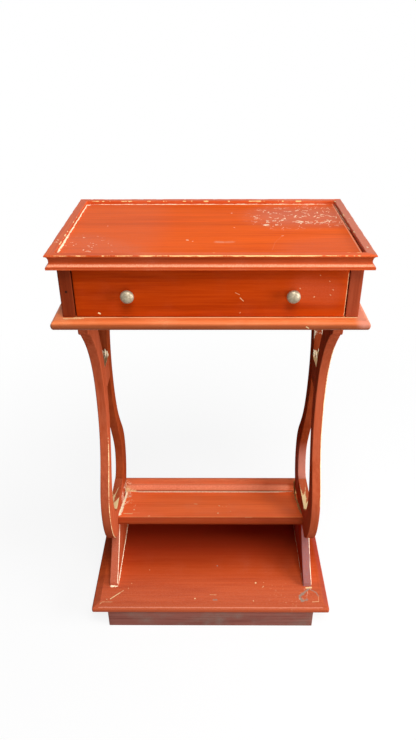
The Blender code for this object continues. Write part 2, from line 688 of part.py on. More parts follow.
def build_trough():
    """The tilted shelf with a rounded front edge, and the rail square to it behind the lyres."""
    trough = new_empty("trough", (0, -TROUGH_FRONT, lyre_bottom + TROUGH_RISE), (-TROUGH_SLOPE, 0, 0))
    radius = SHELF_THICKNESS / 2
    nose = arc((radius, -radius), radius, radius, 90, 270, 2 * ROUND_STEPS)
    shelf_outline = [*nose, (SHELF_DEPTH, -SHELF_THICKNESS), (SHELF_DEPTH, 0)]
    shelf_mesh = extruded_mesh("trough_shelf", shelf_outline, 2 * (lyre_inner_x - FIT))
    shelf = new_piece("trough_shelf", shelf_mesh, ORANGE_STAIN, parent=trough)

    front = SHELF_DEPTH + FIT
    crown = RAIL_THICKNESS / 2
    top = arc((front + crown, RAIL_RISE - crown), crown, crown, 180, 0)
    rail_outline = [(front, -SHELF_THICKNESS), *top, (front + RAIL_THICKNESS, -SHELF_THICKNESS)]
    rail_mesh = extruded_mesh("trough_rail", rail_outline, 2 * (lyre_inner_x + RAIL_PAST_LYRE))
    new_piece("trough_rail", rail_mesh, RED_STAIN, parent=trough)
    return [shelf]


def corner_block_mesh(name, sign, way, height):
    """A three-cornered glue block, with its square corner at the origin and its legs towards the middle."""
    bm = bmesh.new()
    legs = ((0, 0), (-sign * CORNER_BLOCK_LEG, 0), (0, -way * CORNER_BLOCK_LEG))
    face = bm.faces.new([bm.verts.new((x, y, 0)) for x, y in legs])
    grown = bmesh.ops.extrude_face_region(bm, geom=[face])
    carried = [item for item in grown["geom"] if isinstance(item, bmesh.types.BMVert)]
    bmesh.ops.translate(bm, vec=(0, 0, height), verts=carried)
    return new_mesh(name, bm)


def build_base():
    """The base board with a shallow bevel round its top, on a plinth of four boards and corner blocks."""
    round_centre = (BASE_LOWER_ROUND, BASE_LOWER_ROUND)
    lower = arc(round_centre, BASE_LOWER_ROUND, BASE_LOWER_ROUND, 270, 180, CORNER_STEPS)
    nose_centre = (BASE_NOSE_ROUND, BASE_THICKNESS - BASE_BEVEL_DROP - BASE_NOSE_ROUND)
    nose = arc(nose_centre, BASE_NOSE_ROUND, BASE_NOSE_ROUND, 180, 90, CORNER_STEPS)
    bevel_end = (BASE_BEVEL_WIDTH, BASE_THICKNESS)
    mesh = edged_board_mesh("base_board", base_x, base_y, [*lower, *nose, bevel_end])
    board = new_piece("base_board", mesh, ORANGE_STAIN, (0, 0, base_bottom))

    for end, way in ENDS.items():
        size = (2 * plinth_x, PLINTH_THICKNESS, PLINTH_HEIGHT)
        new_board(f"plinth_{end}", size, BROWN_STAIN, (0, way * (plinth_y - PLINTH_THICKNESS / 2), 0))
    inner_y = plinth_y - PLINTH_THICKNESS - FIT
    inner_x = plinth_x - PLINTH_THICKNESS - FIT
    block_height = PLINTH_HEIGHT - CORNER_BLOCK_DROP
    for side, sign in SIDES.items():
        size = (PLINTH_THICKNESS, 2 * inner_y, PLINTH_HEIGHT)
        new_board(f"plinth_{side}", size, BROWN_STAIN, (sign * (plinth_x - PLINTH_THICKNESS / 2), 0, 0))
        for end, way in ENDS.items():
            name = f"plinth_block_{side}_{end}"
            mesh = corner_block_mesh(name, sign, way, block_height)
            new_piece(name, mesh, BARE_WOOD, (sign * inner_x, way * (inner_y - FIT), CORNER_BLOCK_DROP))
    return [board]


def build_table():
    """Builds every piece, then drills the boards that screws and dowels pass through."""
    build_top()
    drilled = build_case() + build_drawer() + build_lyres() + build_trough() + build_base()
    mesh = bpy.data.meshes.new("drillings")
    drill_cutter.to_mesh(mesh)
    drill_cutter.free()
    drillings = new_cutter("drillings", mesh)
    for piece in drilled:
        cut(piece, drillings)


for old in list(bpy.data.objects):
    bpy.data.objects.remove(old, do_unlink=True)
build_table()
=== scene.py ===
# %% [markdown]
# # A side table with lyre ends
# The table arrives as a frame of plain solids that already have their true sizes and places. This lesson
# gives every piece that shows a finer surface, worked out with numpy, and a finish worked out with shader
# nodes: orange and red stain worn to pale wood along its edges, cream filler in old joints, and pewter knobs.
# The frame comes first, because every later size is read from it.

import bmesh
import bpy
import numpy as np
from mathutils import Matrix, Vector


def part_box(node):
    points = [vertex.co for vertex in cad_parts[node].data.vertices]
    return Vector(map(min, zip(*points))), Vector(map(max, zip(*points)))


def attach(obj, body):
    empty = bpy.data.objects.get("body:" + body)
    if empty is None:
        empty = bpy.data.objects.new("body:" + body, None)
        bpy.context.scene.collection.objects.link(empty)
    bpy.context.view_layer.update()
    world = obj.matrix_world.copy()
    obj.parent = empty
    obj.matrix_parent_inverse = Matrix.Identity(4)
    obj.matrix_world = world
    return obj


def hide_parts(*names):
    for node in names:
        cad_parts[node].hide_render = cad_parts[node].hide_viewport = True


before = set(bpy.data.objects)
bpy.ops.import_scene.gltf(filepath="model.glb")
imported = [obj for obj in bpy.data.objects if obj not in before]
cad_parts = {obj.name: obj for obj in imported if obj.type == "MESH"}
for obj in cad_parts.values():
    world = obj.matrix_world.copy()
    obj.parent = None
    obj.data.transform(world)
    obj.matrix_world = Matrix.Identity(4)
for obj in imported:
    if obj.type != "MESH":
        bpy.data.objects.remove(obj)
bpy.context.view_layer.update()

# %% [markdown]
# ## The camera
# The portrait was taken from standing height, a step in front of the table and looking down at it. A camera
# can be aimed by eye, but straight edges of known length give its place and angles by calculation, so the
# numbers below are a fit. The focal length is in pixels of the picture's long side, which is the side that
# owns the sensor width.

# %% Camera
PICTURE_HEIGHT = 740
FOCAL_PIXELS = 613.24
SENSOR_WIDTH = 36.0
CAMERA_PLACE = (0.00156, -0.93883, 1.04797)
CAMERA_PITCH = np.radians(30.814)
CAMERA_YAW = np.radians(-0.363)
CAMERA_ROLL = np.radians(-0.168)

camera_data = bpy.data.cameras.new("portrait_camera")
camera_data.sensor_width = SENSOR_WIDTH
camera_data.lens = FOCAL_PIXELS / PICTURE_HEIGHT * SENSOR_WIDTH
camera = bpy.data.objects.new("portrait_camera", camera_data)
bpy.context.scene.collection.objects.link(camera)
heading = Matrix.Rotation(-CAMERA_YAW, 4, "Z")
tilt = Matrix.Rotation(np.pi / 2 - CAMERA_PITCH, 4, "X")
lean = Matrix.Rotation(CAMERA_ROLL, 4, "Z")
camera.matrix_world = Matrix.Translation(CAMERA_PLACE) @ heading @ tilt @ lean
bpy.context.scene.camera = camera
bpy.context.scene.view_settings.view_transform = "Standard"
print("camera: lens", round(camera_data.lens, 2), "mm")

# %% [markdown]
# ## Small tools for shader nodes
# Every finish below is a web of shader nodes. Blender's node calls are wordy, so a few short helpers carry
# the load: one sets or links a socket, one adds any node, and the others add the nodes that are needed most.

# %% Node tools
FLOAT = "NodeSocketFloat"
VECTOR = "NodeSocketVector"
MIX_SOCKETS = (0, 6, 7)
MIX_RESULT = 2


def feed(tree, socket, value):
    """Links a socket to another socket, or sets it to a plain value."""
    if isinstance(value, bpy.types.NodeSocket):
        tree.links.new(value, socket)
    else:
        socket.default_value = value


def add_node(tree, kind, sockets=None, **settings):
    """One shader node, with its settings and with its sockets fed by name."""
    made = tree.nodes.new(kind)
    for name, value in settings.items():
        setattr(made, name, value)
    for name, value in (sockets or {}).items():
        feed(tree, made.inputs[name], value)
    return made


def run_math(tree, kind, operation, terms):
    """The results of one math node, with its terms fed in order."""
    made = add_node(tree, kind, operation=operation)
    for socket, term in zip(made.inputs, terms):
        feed(tree, socket, term)
    return made.outputs


def calc(tree, operation, *terms):
    """The result of one Math node."""
    return run_math(tree, "ShaderNodeMath", operation, terms)[0]


def vector_calc(tree, operation, *terms, result="Vector"):
    """The result of one Vector Math node."""
    return run_math(tree, "ShaderNodeVectorMath", operation, terms)[result]


def scale_vector(tree, vector, factor):
    """A vector times a number."""
    scaled = vector_calc(tree, "SCALE", vector)
    feed(tree, scaled.node.inputs["Scale"], factor)
    return scaled


def mix_colour(tree, factor, first, second, mode="MIX"):
    """The colour between two others, or one laid over the other by a blend mode."""
    made = add_node(tree, "ShaderNodeMix", data_type="RGBA", blend_type=mode)
    for place, value in zip(MIX_SOCKETS, (factor, first, second)):
        feed(tree, made.inputs[place], value)
    return made.outputs[MIX_RESULT]


def noise(tree, vector, scale, detail=3.0, roughness=0.5, distortion=0.0):
    """Soft random values around one half."""
    sockets = {"Vector": vector, "Scale": scale, "Detail": detail}
    sockets |= {"Roughness": roughness, "Distortion": distortion}
    return add_node(tree, "ShaderNodeTexNoise", sockets).outputs[0]


def ramp(tree, value, start, end, low=0.0, high=1.0):
    """A smooth step from low to high as the value goes from start to end."""
    made = add_node(tree, "ShaderNodeMapRange", interpolation_type="SMOOTHSTEP")
    for place, number in enumerate((value, start, end, low, high)):
        feed(tree, made.inputs[place], number)
    return made.outputs[0]


def new_group(name, inputs, outputs):
    """An empty node group with named sockets: its tree, what comes in and what goes out."""
    tree = bpy.data.node_groups.new(name, "ShaderNodeTree")
    for label, kind in inputs.items():
        tree.interface.new_socket(label, in_out="INPUT", socket_type=kind)
    for label, kind in outputs.items():
        tree.interface.new_socket(label, in_out="OUTPUT", socket_type=kind)
    entry = tree.nodes.new("NodeGroupInput")
    leave = tree.nodes.new("NodeGroupOutput")
    return tree, entry.outputs, leave.inputs


def use_group(tree, group, sockets):
    """One copy of a node group, with its own values."""
    made = tree.nodes.new("ShaderNodeGroup")
    made.node_tree = group
    for name, value in sockets.items():
        feed(tree, made.inputs[name], value)
    return made.outputs


def new_material(name):
    """A new material: itself, its node tree, its surface shader and the places on its surface in metres."""
    material = bpy.data.materials.new(name)
    material.use_nodes = True
    tree = material.node_tree
    spot = tree.nodes.new("ShaderNodeTexCoord").outputs["Object"]
    return material, tree, tree.nodes["Principled BSDF"], spot


print("kinds of socket:", FLOAT, VECTOR)

# %% [markdown]
# ## Light and floor
# The table stood in open shade: a broad bright sky in front and above, a second one low at the right, a weak
# glow from the ground in front, and little light from the left. Soft lamps do the same. The floor is nearly
# white to the camera, by the Light Path node, so the background stays white, and the table still lays a soft
# shadow on it. To rays that carry light the floor is a darker grey, because a white floor would fill the dark
# hollows between the lyres from below.

# %% Light and floor
AMBIENT = 0.05
FLOOR_HALF = 9.0
FLOOR_WHITE = (0.86, 1.0)
FLOOR_FADE = (0.35, 1.3)
FLOOR_TONES = (0.25, 0.9)
LAMP_AIM = Vector((0, 0, 0.45))
LAMPS = {
    "sky_front": {"place": (0.35, -1.45, 3.0), "size": 1.4, "power": 68},
    "sky_right": {"place": (2.2, -0.8, 1.0), "size": 1.5, "power": 72},
    "ground_front": {"place": (0.5, -2.9, 0.5), "size": 1.0, "power": 17.5},
    "sky_rear": {"place": (0.0, 1.1, 3.0), "size": 1.6, "power": 10},
}


def add_lamp(name, place, size, power):
    """A square soft lamp that faces the table."""
    data = bpy.data.lights.new(name, "AREA")
    data.size = size
    data.energy = power
    lamp = bpy.data.objects.new(name, data)
    bpy.context.scene.collection.objects.link(lamp)
    aim = (LAMP_AIM - Vector(place)).to_track_quat("-Z", "Y")
    lamp.matrix_world = Matrix.Translation(place) @ aim.to_matrix().to_4x4()


def seen_directly(tree):
    """1 for rays from the camera, off a gloss or through glass, and 0 for rays that light a surface."""
    path = tree.nodes.new("ShaderNodeLightPath").outputs
    direct = calc(tree, "MAXIMUM", path["Is Camera Ray"], path["Is Glossy Ray"])
    return calc(tree, "MAXIMUM", direct, path["Is Transmission Ray"])


def make_world():
    """White to the camera, and a dimmer even light for everything else."""
    world = bpy.data.worlds.new("studio")
    world.use_nodes = True
    tree = world.node_tree
    backdrop = tree.nodes["Background"]
    backdrop.inputs["Color"].default_value = (1, 1, 1, 1)
    feed(tree, backdrop.inputs["Strength"], ramp(tree, seen_directly(tree), 0.0, 1.0, AMBIENT, 1.0))
    bpy.context.scene.world = world


def make_floor():
    """A wide pale floor. For the camera a share of white light lifts it to the white of the background,
    wholly so away from the table, and less near it, where the shadow falls."""
    corners = [(x * FLOOR_HALF, y * FLOOR_HALF, 0.0) for x, y in ((-1, -1), (1, -1), (1, 1), (-1, 1))]
    mesh = bpy.data.meshes.new("floor")
    mesh.from_pydata(corners, [], [(0, 1, 2, 3)])
    floor = bpy.data.objects.new("floor", mesh)
    bpy.context.scene.collection.objects.link(floor)
    material, tree, surface, spot = new_material("pale_floor")
    tree.nodes.remove(surface)
    seen = seen_directly(tree)
    matt = add_node(tree, "ShaderNodeBsdfDiffuse", {"Color": ramp(tree, seen, 0.0, 1.0, *FLOOR_TONES)})
    white = add_node(tree, "ShaderNodeEmission", {"Color": (1, 1, 1, 1), "Strength": 1.0})
    away = vector_calc(tree, "LENGTH", spot, result="Value")
    share = calc(tree, "MULTIPLY", seen, ramp(tree, away, *FLOOR_FADE, *FLOOR_WHITE))
    both = add_node(tree, "ShaderNodeMixShader", {0: share, 1: matt.outputs[0], 2: white.outputs[0]})
    tree.links.new(both.outputs[0], tree.nodes["Material Output"].inputs["Surface"])
    mesh.materials.append(material)


for name, values in LAMPS.items():
    add_lamp(name, **values)
make_world()
make_floor()
print("lamps:", sorted(LAMPS))

# %% [markdown]
# ## Grain, wear and marks as node groups
# One tree gave all the boards, and one life gave them their marks, so those effects are groups that every
# finish shares. Grain is noise that is stretched along one direction: the group takes its X as the way of the
# grain.

# %% Grain
STREAK_STRETCH = (7.0, 230.0, 230.0)
FIGURE_STRETCH = (1.7, 24.0, 24.0)
PORE_STRETCH = (38.0, 1000.0, 1000.0)


def make_grain():
    """Fine streaks, broad figure and short dark pores, all drawn out along X."""
    outputs = {"Streaks": FLOAT, "Figure": FLOAT, "Pores": FLOAT}
    tree, entry, leave = new_group("wood_grain", {"Vector": VECTOR}, outputs)
    fine = vector_calc(tree, "MULTIPLY", entry["Vector"], STREAK_STRETCH)
    broad = vector_calc(tree, "MULTIPLY", entry["Vector"], FIGURE_STRETCH)
    short = vector_calc(tree, "MULTIPLY", entry["Vector"], PORE_STRETCH)
    streaks = ramp(tree, noise(tree, fine, 1.0, 4.0, 0.62), 0.28, 0.72)
    figure = ramp(tree, noise(tree, broad, 1.0, 3.0, 0.55, 0.7), 0.30, 0.70)
    pores = ramp(tree, noise(tree, short, 1.0, 2.0, 0.5), 0.60, 0.70)
    for label, value in (("Streaks", streaks), ("Figure", figure), ("Pores", pores)):
        feed(tree, leave[label], value)
    return tree


grain_group = make_grain()
print("group:", grain_group.name)

# %% [markdown]
# Stain wears through first where two faces meet. Each surface below carries an attribute named arris, which
# is 1 on such an edge and fades to 0 a few millimetres away, and a second one for places that saw more use,
# which also carries a few painted highlights. The group adds both to some noise and keeps what rises above a
# limit, so the worn line breaks up as a real one does. Along the base board's nose the same bare colour, in a
# pink tone, paints a highlight.

# %% Worn edges
PATCH_SIZE, PATCH_SHARE = 38.0, 0.9
NIBBLE_SIZE, NIBBLE_SHARE = 420.0, 0.7
WEAR_LIMIT = (1.50, 1.62)


def make_wear():
    """A ragged mask of bare wood along the edges, from the arris and wear attributes. In a few places it
    paints a highlight.
    """
    tree, entry, leave = new_group("edge_wear_and_highlight", {"Vector": VECTOR, "Amount": FLOAT}, {"Mask": FLOAT})
    arris = add_node(tree, "ShaderNodeAttribute", attribute_name="arris").outputs["Fac"]
    wear_and_highlight = add_node(tree, "ShaderNodeAttribute", attribute_name="wear_and_highlight").outputs["Fac"]
    patches = noise(tree, entry["Vector"], PATCH_SIZE, 4.0, 0.6)
    nibbles = noise(tree, entry["Vector"], NIBBLE_SIZE, 3.0, 0.6)
    edge = calc(tree, "MULTIPLY", calc(tree, "POWER", arris, 2.0), entry["Amount"])
    broad, fine = calc(tree, "MULTIPLY", patches, PATCH_SHARE), calc(tree, "MULTIPLY", nibbles, NIBBLE_SHARE)
    total = calc(tree, "ADD", calc(tree, "ADD", edge, wear_and_highlight), calc(tree, "ADD", broad, fine))
    feed(tree, leave["Mask"], ramp(tree, total, *WEAR_LIMIT))
    return tree


wear_group = make_wear()
print("group:", wear_group.name)

# %% [markdown]
# Nicks are the many short strokes that keys and cups leave. A flat Voronoi pattern cuts the face into cells;
# each cell has a random colour, which picks whether it holds a stroke, which way the stroke lies and how long
# it is. Broad noise, read at the middle of each cell, gathers the strokes into clusters.

# %% Nicks
SWAY_SIZE, SWAY_REACH = 160.0, 0.009
CLUSTER_SIZE = 60.0
DICE_SPREAD = 17.3


def make_nicks():
    """Short bent strokes, at most one in each cell of a flat Voronoi pattern on X and Y."""
    inputs = {"Vector": VECTOR, "Cells": FLOAT, "Share": FLOAT, "Length": FLOAT, "Width": FLOAT}
    tree, entry, leave = new_group("nicks", inputs, {"Mask": FLOAT})
    waves = {"Vector": entry["Vector"], "Scale": SWAY_SIZE}
    sway = add_node(tree, "ShaderNodeTexNoise", waves).outputs["Color"]
    sway = scale_vector(tree, vector_calc(tree, "SUBTRACT", sway, (0.5, 0.5, 0.5)), SWAY_REACH)
    bent = vector_calc(tree, "ADD", entry["Vector"], sway)
    pattern = {"Vector": bent, "Scale": entry["Cells"]}
    cells = add_node(tree, "ShaderNodeTexVoronoi", pattern, voronoi_dimensions="2D").outputs
    local = scale_vector(tree, vector_calc(tree, "SUBTRACT", bent, cells["Position"]), entry["Cells"])
    chance = add_node(tree, "ShaderNodeSeparateColor", {"Color": cells["Color"]}).outputs
    angle = calc(tree, "MULTIPLY", chance[0], 2 * np.pi)
    swing = {"Vector": local, "Angle": angle}
    turned = add_node(tree, "ShaderNodeVectorRotate", swing, rotation_type="Z_AXIS").outputs[0]
    axes = add_node(tree, "ShaderNodeSeparateXYZ", {"Vector": turned}).outputs
    reach = calc(tree, "MULTIPLY", entry["Length"], calc(tree, "ADD", chance[1], 0.25))
    rough = calc(tree, "MULTIPLY", noise(tree, entry["Vector"], 900.0, 2.0), 1.6)
    girth = calc(tree, "MULTIPLY", entry["Width"], calc(tree, "ADD", chance[2], rough))
    along = calc(tree, "LESS_THAN", calc(tree, "ABSOLUTE", axes[0]), reach)
    across = calc(tree, "LESS_THAN", calc(tree, "ABSOLUTE", axes[1]), girth)
    draw = calc(tree, "MULTIPLY", calc(tree, "ADD", chance[0], chance[2]), DICE_SPREAD)
    dice = calc(tree, "FRACT", draw)
    cluster = ramp(tree, noise(tree, cells["Position"], CLUSTER_SIZE, 2.0), 0.38, 0.62)
    there = calc(tree, "LESS_THAN", dice, calc(tree, "MULTIPLY", entry["Share"], cluster))
    feed(tree, leave["Mask"], calc(tree, "MULTIPLY", calc(tree, "MULTIPLY", along, across), there))
    return tree


nicks_group = make_nicks()
print("group:", nicks_group.name)

# %% [markdown]
# A few marks have a known place: two scratches on the drawer, a gouge by the left foot, filled nail holes.
# They could be painted on a picture, but the distance to a line between two points gives a mark that stays
# sharp at any size. The same group makes a dot where both points are one, and a soft patch where its edge is
# made wide.

# %% Placed marks


def make_mark():
    """A mask near the line from Start to End: 1 within Width, fading over Soft, with a ragged edge."""
    inputs = {"Vector": VECTOR, "Start": VECTOR, "End": VECTOR}
    inputs |= {"Width": FLOAT, "Soft": FLOAT, "Ragged": FLOAT}
    tree, entry, leave = new_group("placed_mark", inputs, {"Mask": FLOAT})
    reach = vector_calc(tree, "SUBTRACT", entry["Vector"], entry["Start"])
    line = vector_calc(tree, "SUBTRACT", entry["End"], entry["Start"])
    along = vector_calc(tree, "DOT_PRODUCT", reach, line, result="Value")
    square = calc(tree, "MAXIMUM", vector_calc(tree, "DOT_PRODUCT", line, line, result="Value"), 1e-9)
    share = calc(tree, "MINIMUM", calc(tree, "MAXIMUM", calc(tree, "DIVIDE", along, square), 0.0), 1.0)
    nearest = scale_vector(tree, line, share)
    distance = vector_calc(tree, "LENGTH", vector_calc(tree, "SUBTRACT", reach, nearest), result="Value")
    jitter = calc(tree, "SUBTRACT", noise(tree, entry["Vector"], 500.0, 3.0, 0.6), 0.5)
    distance = calc(tree, "ADD", distance, calc(tree, "MULTIPLY", jitter, entry["Ragged"]))
    outer = calc(tree, "ADD", entry["Width"], entry["Soft"])
    feed(tree, leave["Mask"], ramp(tree, distance, outer, entry["Width"]))
    return tree


mark_group = make_mark()
print("group:", mark_group.name)

# %% [markdown]
# ## The stained finishes
# One function makes every stained wood. From the bottom up: a deep and a middle tone mixed by the broad
# figure, a lighter tone in the streaks, dark pores, a milky haze where the varnish has bloomed, a darkening
# that is dust on some pieces and painted shade on others, nicks, placed marks and, last, bare wood on the
# worn edges.
# The haze, where it is laid as a bloom, also paints a few highlights, and some placed marks are painted
# shade, shadow, highlight or reflection. Each finish only brings its own colours and its own marks. The sheen
# is kept
# low: old varnish on open-pored wood is nearly dull, and a bright one would wash out the red where it is seen
# at a slant.

# %% Tones and strokes
CREAM = (0.86, 0.62, 0.32, 1)
CHALK = (0.95, 0.80, 0.58, 1)
PALE_WOOD = (0.78, 0.48, 0.20, 1)
DIRT_AND_SHADE = (0.20, 0.12, 0.10, 1)
DARK = (0.035, 0.010, 0.006, 1)
GRAIN_TURNS = {
    "along": (0, 0, 0),
    "along_upright": (np.pi / 2, 0, 0),
    "back": (0, 0, np.pi / 2),
    "up": (0, np.pi / 2, 0),
}


def shade(red, green, blue):
    """A colour socket's value."""
    return (red, green, blue, 1)


def stroke(start, end=None, width=0.0005, soft=0.0003, ragged=0.0008, strength=1.0):
    """One placed mark, a line from start to end or, without an end, a dot."""
    last = start if end is None else end
    sockets = {"Start": start, "End": last, "Width": width, "Soft": soft, "Ragged": ragged}
    return {"sockets": sockets, "strength": strength}


def strokes_on(place):
    """A maker of strokes on one face, whose ends are given as places on that face."""

    def lay(first, last=None, *shape, **more):
        """One stroke of that face."""
        return stroke(place(*first), None if last is None else place(*last), *shape, **more)

    return lay


def place_marks(tree, spot, marks):
    """The strongest of several placed marks."""
    strongest = 0.0
    for mark in marks:
        mask = use_group(tree, mark_group, {"Vector": spot, **mark["sockets"]})["Mask"]
        strongest = calc(tree, "MAXIMUM", strongest, calc(tree, "MULTIPLY", mask, mark["strength"]))
    return strongest


def scatter(cells, share, length, width, where, tone=CREAM, strength=1.0):
    """A field of nicks, kept to where a placed mark lies."""
    sockets = {"Cells": cells, "Share": share, "Length": length, "Width": width}
    return {"sockets": sockets, "where": where, "tone": tone, "strength": strength}


def sand(where, share, width):
    """Two sizes of short pale nicks over one another, dense enough to look like grit in a corner."""
    coarse = scatter(230.0, share, 0.42, width, where, CHALK)
    fine = scatter(390.0, 0.9, 0.40, width, where, CHALK)
    return [coarse, fine]


print("turns of the grain:", sorted(GRAIN_TURNS))

# %% Stain
STREAK_TINT, PORE_TINT, DIRT_AND_SHADE_TINT = 0.55, 0.35, 0.85
GRIT_SIZE, GRIT_FLOOR = 520.0, 0.4
STREAK_ROUGHNESS, BARE_ROUGHNESS = 0.10, 0.30
STREAK_HEIGHT, BARE_HEIGHT = 0.25, -1.0
BUMP = {"Strength": 0.35, "Distance": 0.0004}


def add_haze(tree, spot, colour, haze, blooms_and_highlights):
    """A milky veil over a colour, in clouds of its own scale and, stronger, where the blooms lie. A few of
    those blooms are painted highlights.
    """
    cloud = ramp(tree, noise(tree, spot, haze["scale"], 4.0, 0.6), 0.42, 0.78)
    grit = ramp(tree, noise(tree, spot, GRIT_SIZE, 3.0, 0.7), 0.35, 0.75)
    veil = calc(tree, "MULTIPLY", cloud, haze["amount"])
    veil = calc(tree, "MULTIPLY", veil, calc(tree, "ADD", grit, GRIT_FLOOR))
    grain = calc(tree, "MULTIPLY_ADD", grit, 1 - GRIT_FLOOR, GRIT_FLOOR)
    bloom = calc(tree, "MULTIPLY", place_marks(tree, spot, blooms_and_highlights), grain)
    return mix_colour(tree, calc(tree, "MAXIMUM", veil, bloom), colour, shade(*haze["tone"]))


def make_stain(
    name, tones, turn, gloss=0.36, sheen=0.03, haze=None, wear=0.8, nicks=(), marks=(), blooms_and_highlights=(), edge=CREAM
):
    """A stained and varnished wood, from its deep, middle and light tones and the way its grain runs. Each
    item of marks is a tone and the strokes that have it."""
    material, tree, surface, spot = new_material(name)
    turned = add_node(tree, "ShaderNodeMapping", {"Vector": spot, "Rotation": GRAIN_TURNS[turn]}).outputs[0]
    grain = use_group(tree, grain_group, {"Vector": turned})
    deep, middle, light = (shade(*tone) for tone in tones)
    colour = mix_colour(tree, grain["Figure"], deep, middle)
    colour = mix_colour(tree, calc(tree, "MULTIPLY", grain["Streaks"], STREAK_TINT), colour, light)
    colour = mix_colour(tree, calc(tree, "MULTIPLY", grain["Pores"], PORE_TINT), colour, deep)
    if haze:
        colour = add_haze(tree, spot, colour, haze, blooms_and_highlights)
    # An attribute darkens the colour here: dust on the arms, dust and painted shade in the rim's hollow, and
    # painted shade on the case floor's underside, the shelf's nose, the rail's groove and the base's bevel.
    dirt_and_shade = add_node(tree, "ShaderNodeAttribute", attribute_name="dirt_and_shade").outputs["Fac"]
    colour = mix_colour(tree, calc(tree, "MULTIPLY", dirt_and_shade, DIRT_AND_SHADE_TINT), colour, DIRT_AND_SHADE, "MULTIPLY")

    bare = use_group(tree, wear_group, {"Vector": spot, "Amount": wear})["Mask"]
    colour = mix_colour(tree, bare, colour, edge)
    for field in nicks:
        strokes = use_group(tree, nicks_group, {"Vector": turned, **field["sockets"]})["Mask"]
        strokes = calc(tree, "MULTIPLY", strokes, field["strength"])
        strokes = calc(tree, "MULTIPLY", strokes, place_marks(tree, spot, [field["where"]]))
        colour = mix_colour(tree, strokes, colour, field["tone"])
        bare = calc(tree, "MAXIMUM", bare, strokes)
    for tone, strokes in marks:
        mask = place_marks(tree, spot, strokes)
        colour = mix_colour(tree, mask, colour, tone)
        bare = calc(tree, "MAXIMUM", bare, mask)

    feed(tree, surface.inputs["Base Color"], colour)
    surface.inputs["Specular IOR Level"].default_value = sheen
    streaky = calc(tree, "MULTIPLY_ADD", grain["Streaks"], STREAK_ROUGHNESS, gloss)
    feed(tree, surface.inputs["Roughness"], calc(tree, "MULTIPLY_ADD", bare, BARE_ROUGHNESS, streaky))
    worn_away = calc(tree, "MULTIPLY", bare, BARE_HEIGHT)
    height = calc(tree, "MULTIPLY_ADD", grain["Streaks"], STREAK_HEIGHT, worn_away)
    bump = add_node(tree, "ShaderNodeBump", {"Height": height, **BUMP})
    feed(tree, surface.inputs["Normal"], bump.outputs[0])
    return material


print("bump of a stain:", BUMP)

# %% [markdown]
# ## Tools for surfaces
# A board is a rounded rectangle carried along its grain; a lyre arm is one carried along a curve; the edge of
# a base board is one that grows and shrinks as it climbs. So one closed loop, sized later, makes nearly the
# whole table. Each point of the loop is flat times (half size less radius) plus turn times radius.

# %% Loops and meshes
EASE = 0.0011
ARRIS_REACH = 0.0045
WELD = 1e-6
SHARP = np.radians(38)


def eased_loop(wide, high, corner=4):
    """A rounded rectangle of unit size, as the arrays flat and turn, with more points near the corners."""
    flats, turns = [], []
    for quarter in range(4):
        count = wide if quarter % 2 == 0 else high
        way = np.array([np.cos(quarter * np.pi / 2), np.sin(quarter * np.pi / 2)]).round()
        out = np.array([way[1], -way[0]])
        walk = np.sin(np.linspace(-np.pi / 2, np.pi / 2, count))
        flats.append(walk[:, None] * way + out)
        turns.append(np.tile(out, (count, 1)))
        swing = np.linspace(0, np.pi / 2, corner + 1)[1:-1, None]
        flats.append(np.tile(way + out, (corner - 1, 1)))
        turns.append(np.cos(swing) * out + np.sin(swing) * way)
    return np.concatenate(flats), np.concatenate(turns)


def size_loop(loop, halves, radii):
    """The loop at each station: flat * (half - radius) + turn * radius, for all stations at once."""
    flat, turn = loop
    radii = np.asarray(radii)[:, None, None]
    return flat * (np.asarray(halves)[:, None, :] - radii) + turn * radii


def edge_nearness(*distances):
    """1 on an arris and 0 away from it. The second smallest distance to a face is that to the arris."""
    spread = np.sort(np.stack(np.broadcast_arrays(*distances)), axis=0)
    return np.clip(1 - spread[1] / ARRIS_REACH, 0, 1)


def grid_faces(rows, columns, ring):
    """The corners of every quad between neighbouring rows. A ring joins its last column to its first."""
    row = np.arange(rows - 1)[:, None] * columns
    column = np.arange(columns if ring else columns - 1)[None, :]
    after = (column + 1) % columns
    corners = [row + column, row + after, row + columns + after, row + columns + column]
    return np.stack(np.broadcast_arrays(*corners), axis=-1).reshape(-1, 4)


def put_surface(name, points, arris=None, wear_and_highlight=None, dirt_and_shade=None, caps=True):
    """A mesh object from stations of closed loops, welded, faced outwards and with its attributes filled."""
    rows, columns = points.shape[:2]
    faces = grid_faces(rows, columns, ring=True).tolist()
    if caps:
        faces += [list(range(columns)), list(range((rows - 1) * columns, rows * columns))]
    mesh = bpy.data.meshes.new(name)
    mesh.from_pydata(points.reshape(-1, 3).tolist(), [], faces)
    for label, values in (("arris", arris), ("wear_and_highlight", wear_and_highlight), ("dirt_and_shade", dirt_and_shade)):
        filled = np.zeros((rows, columns)) if values is None else np.broadcast_to(values, (rows, columns))
        attribute = mesh.attributes.new(label, "FLOAT", "POINT")
        attribute.data.foreach_set("value", filled.astype(np.float32).ravel())
    bm = bmesh.new()
    bm.from_mesh(mesh)
    bmesh.ops.remove_doubles(bm, verts=bm.verts, dist=WELD)
    bmesh.ops.recalc_face_normals(bm, faces=bm.faces)
    bm.to_mesh(mesh)
    bm.free()
    mesh.shade_smooth()
    mesh.set_sharp_from_angle(angle=SHARP)
    piece = bpy.data.objects.new(name, mesh)
    bpy.context.scene.collection.objects.link(piece)
    return piece


def dress(piece, material, slot, *nodes, body="frame"):
    """Gives a piece its finish, its body and the nodes that it stands for."""
    piece.data.materials.append(material)
    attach(piece, body)
    if nodes:
        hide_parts(*nodes)


def node_box(node):
    """The corners of a node as two arrays."""
    low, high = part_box(node)
    return np.array(low), np.array(high)


print("loop for a board:", len(eased_loop(12, 6)[0]), "points")

# %% Boards
AXIS_ORDER = {"x": (0, 1, 2), "y": (1, 2, 0), "z": (2, 0, 1)}
BOARD_STEP = 0.008


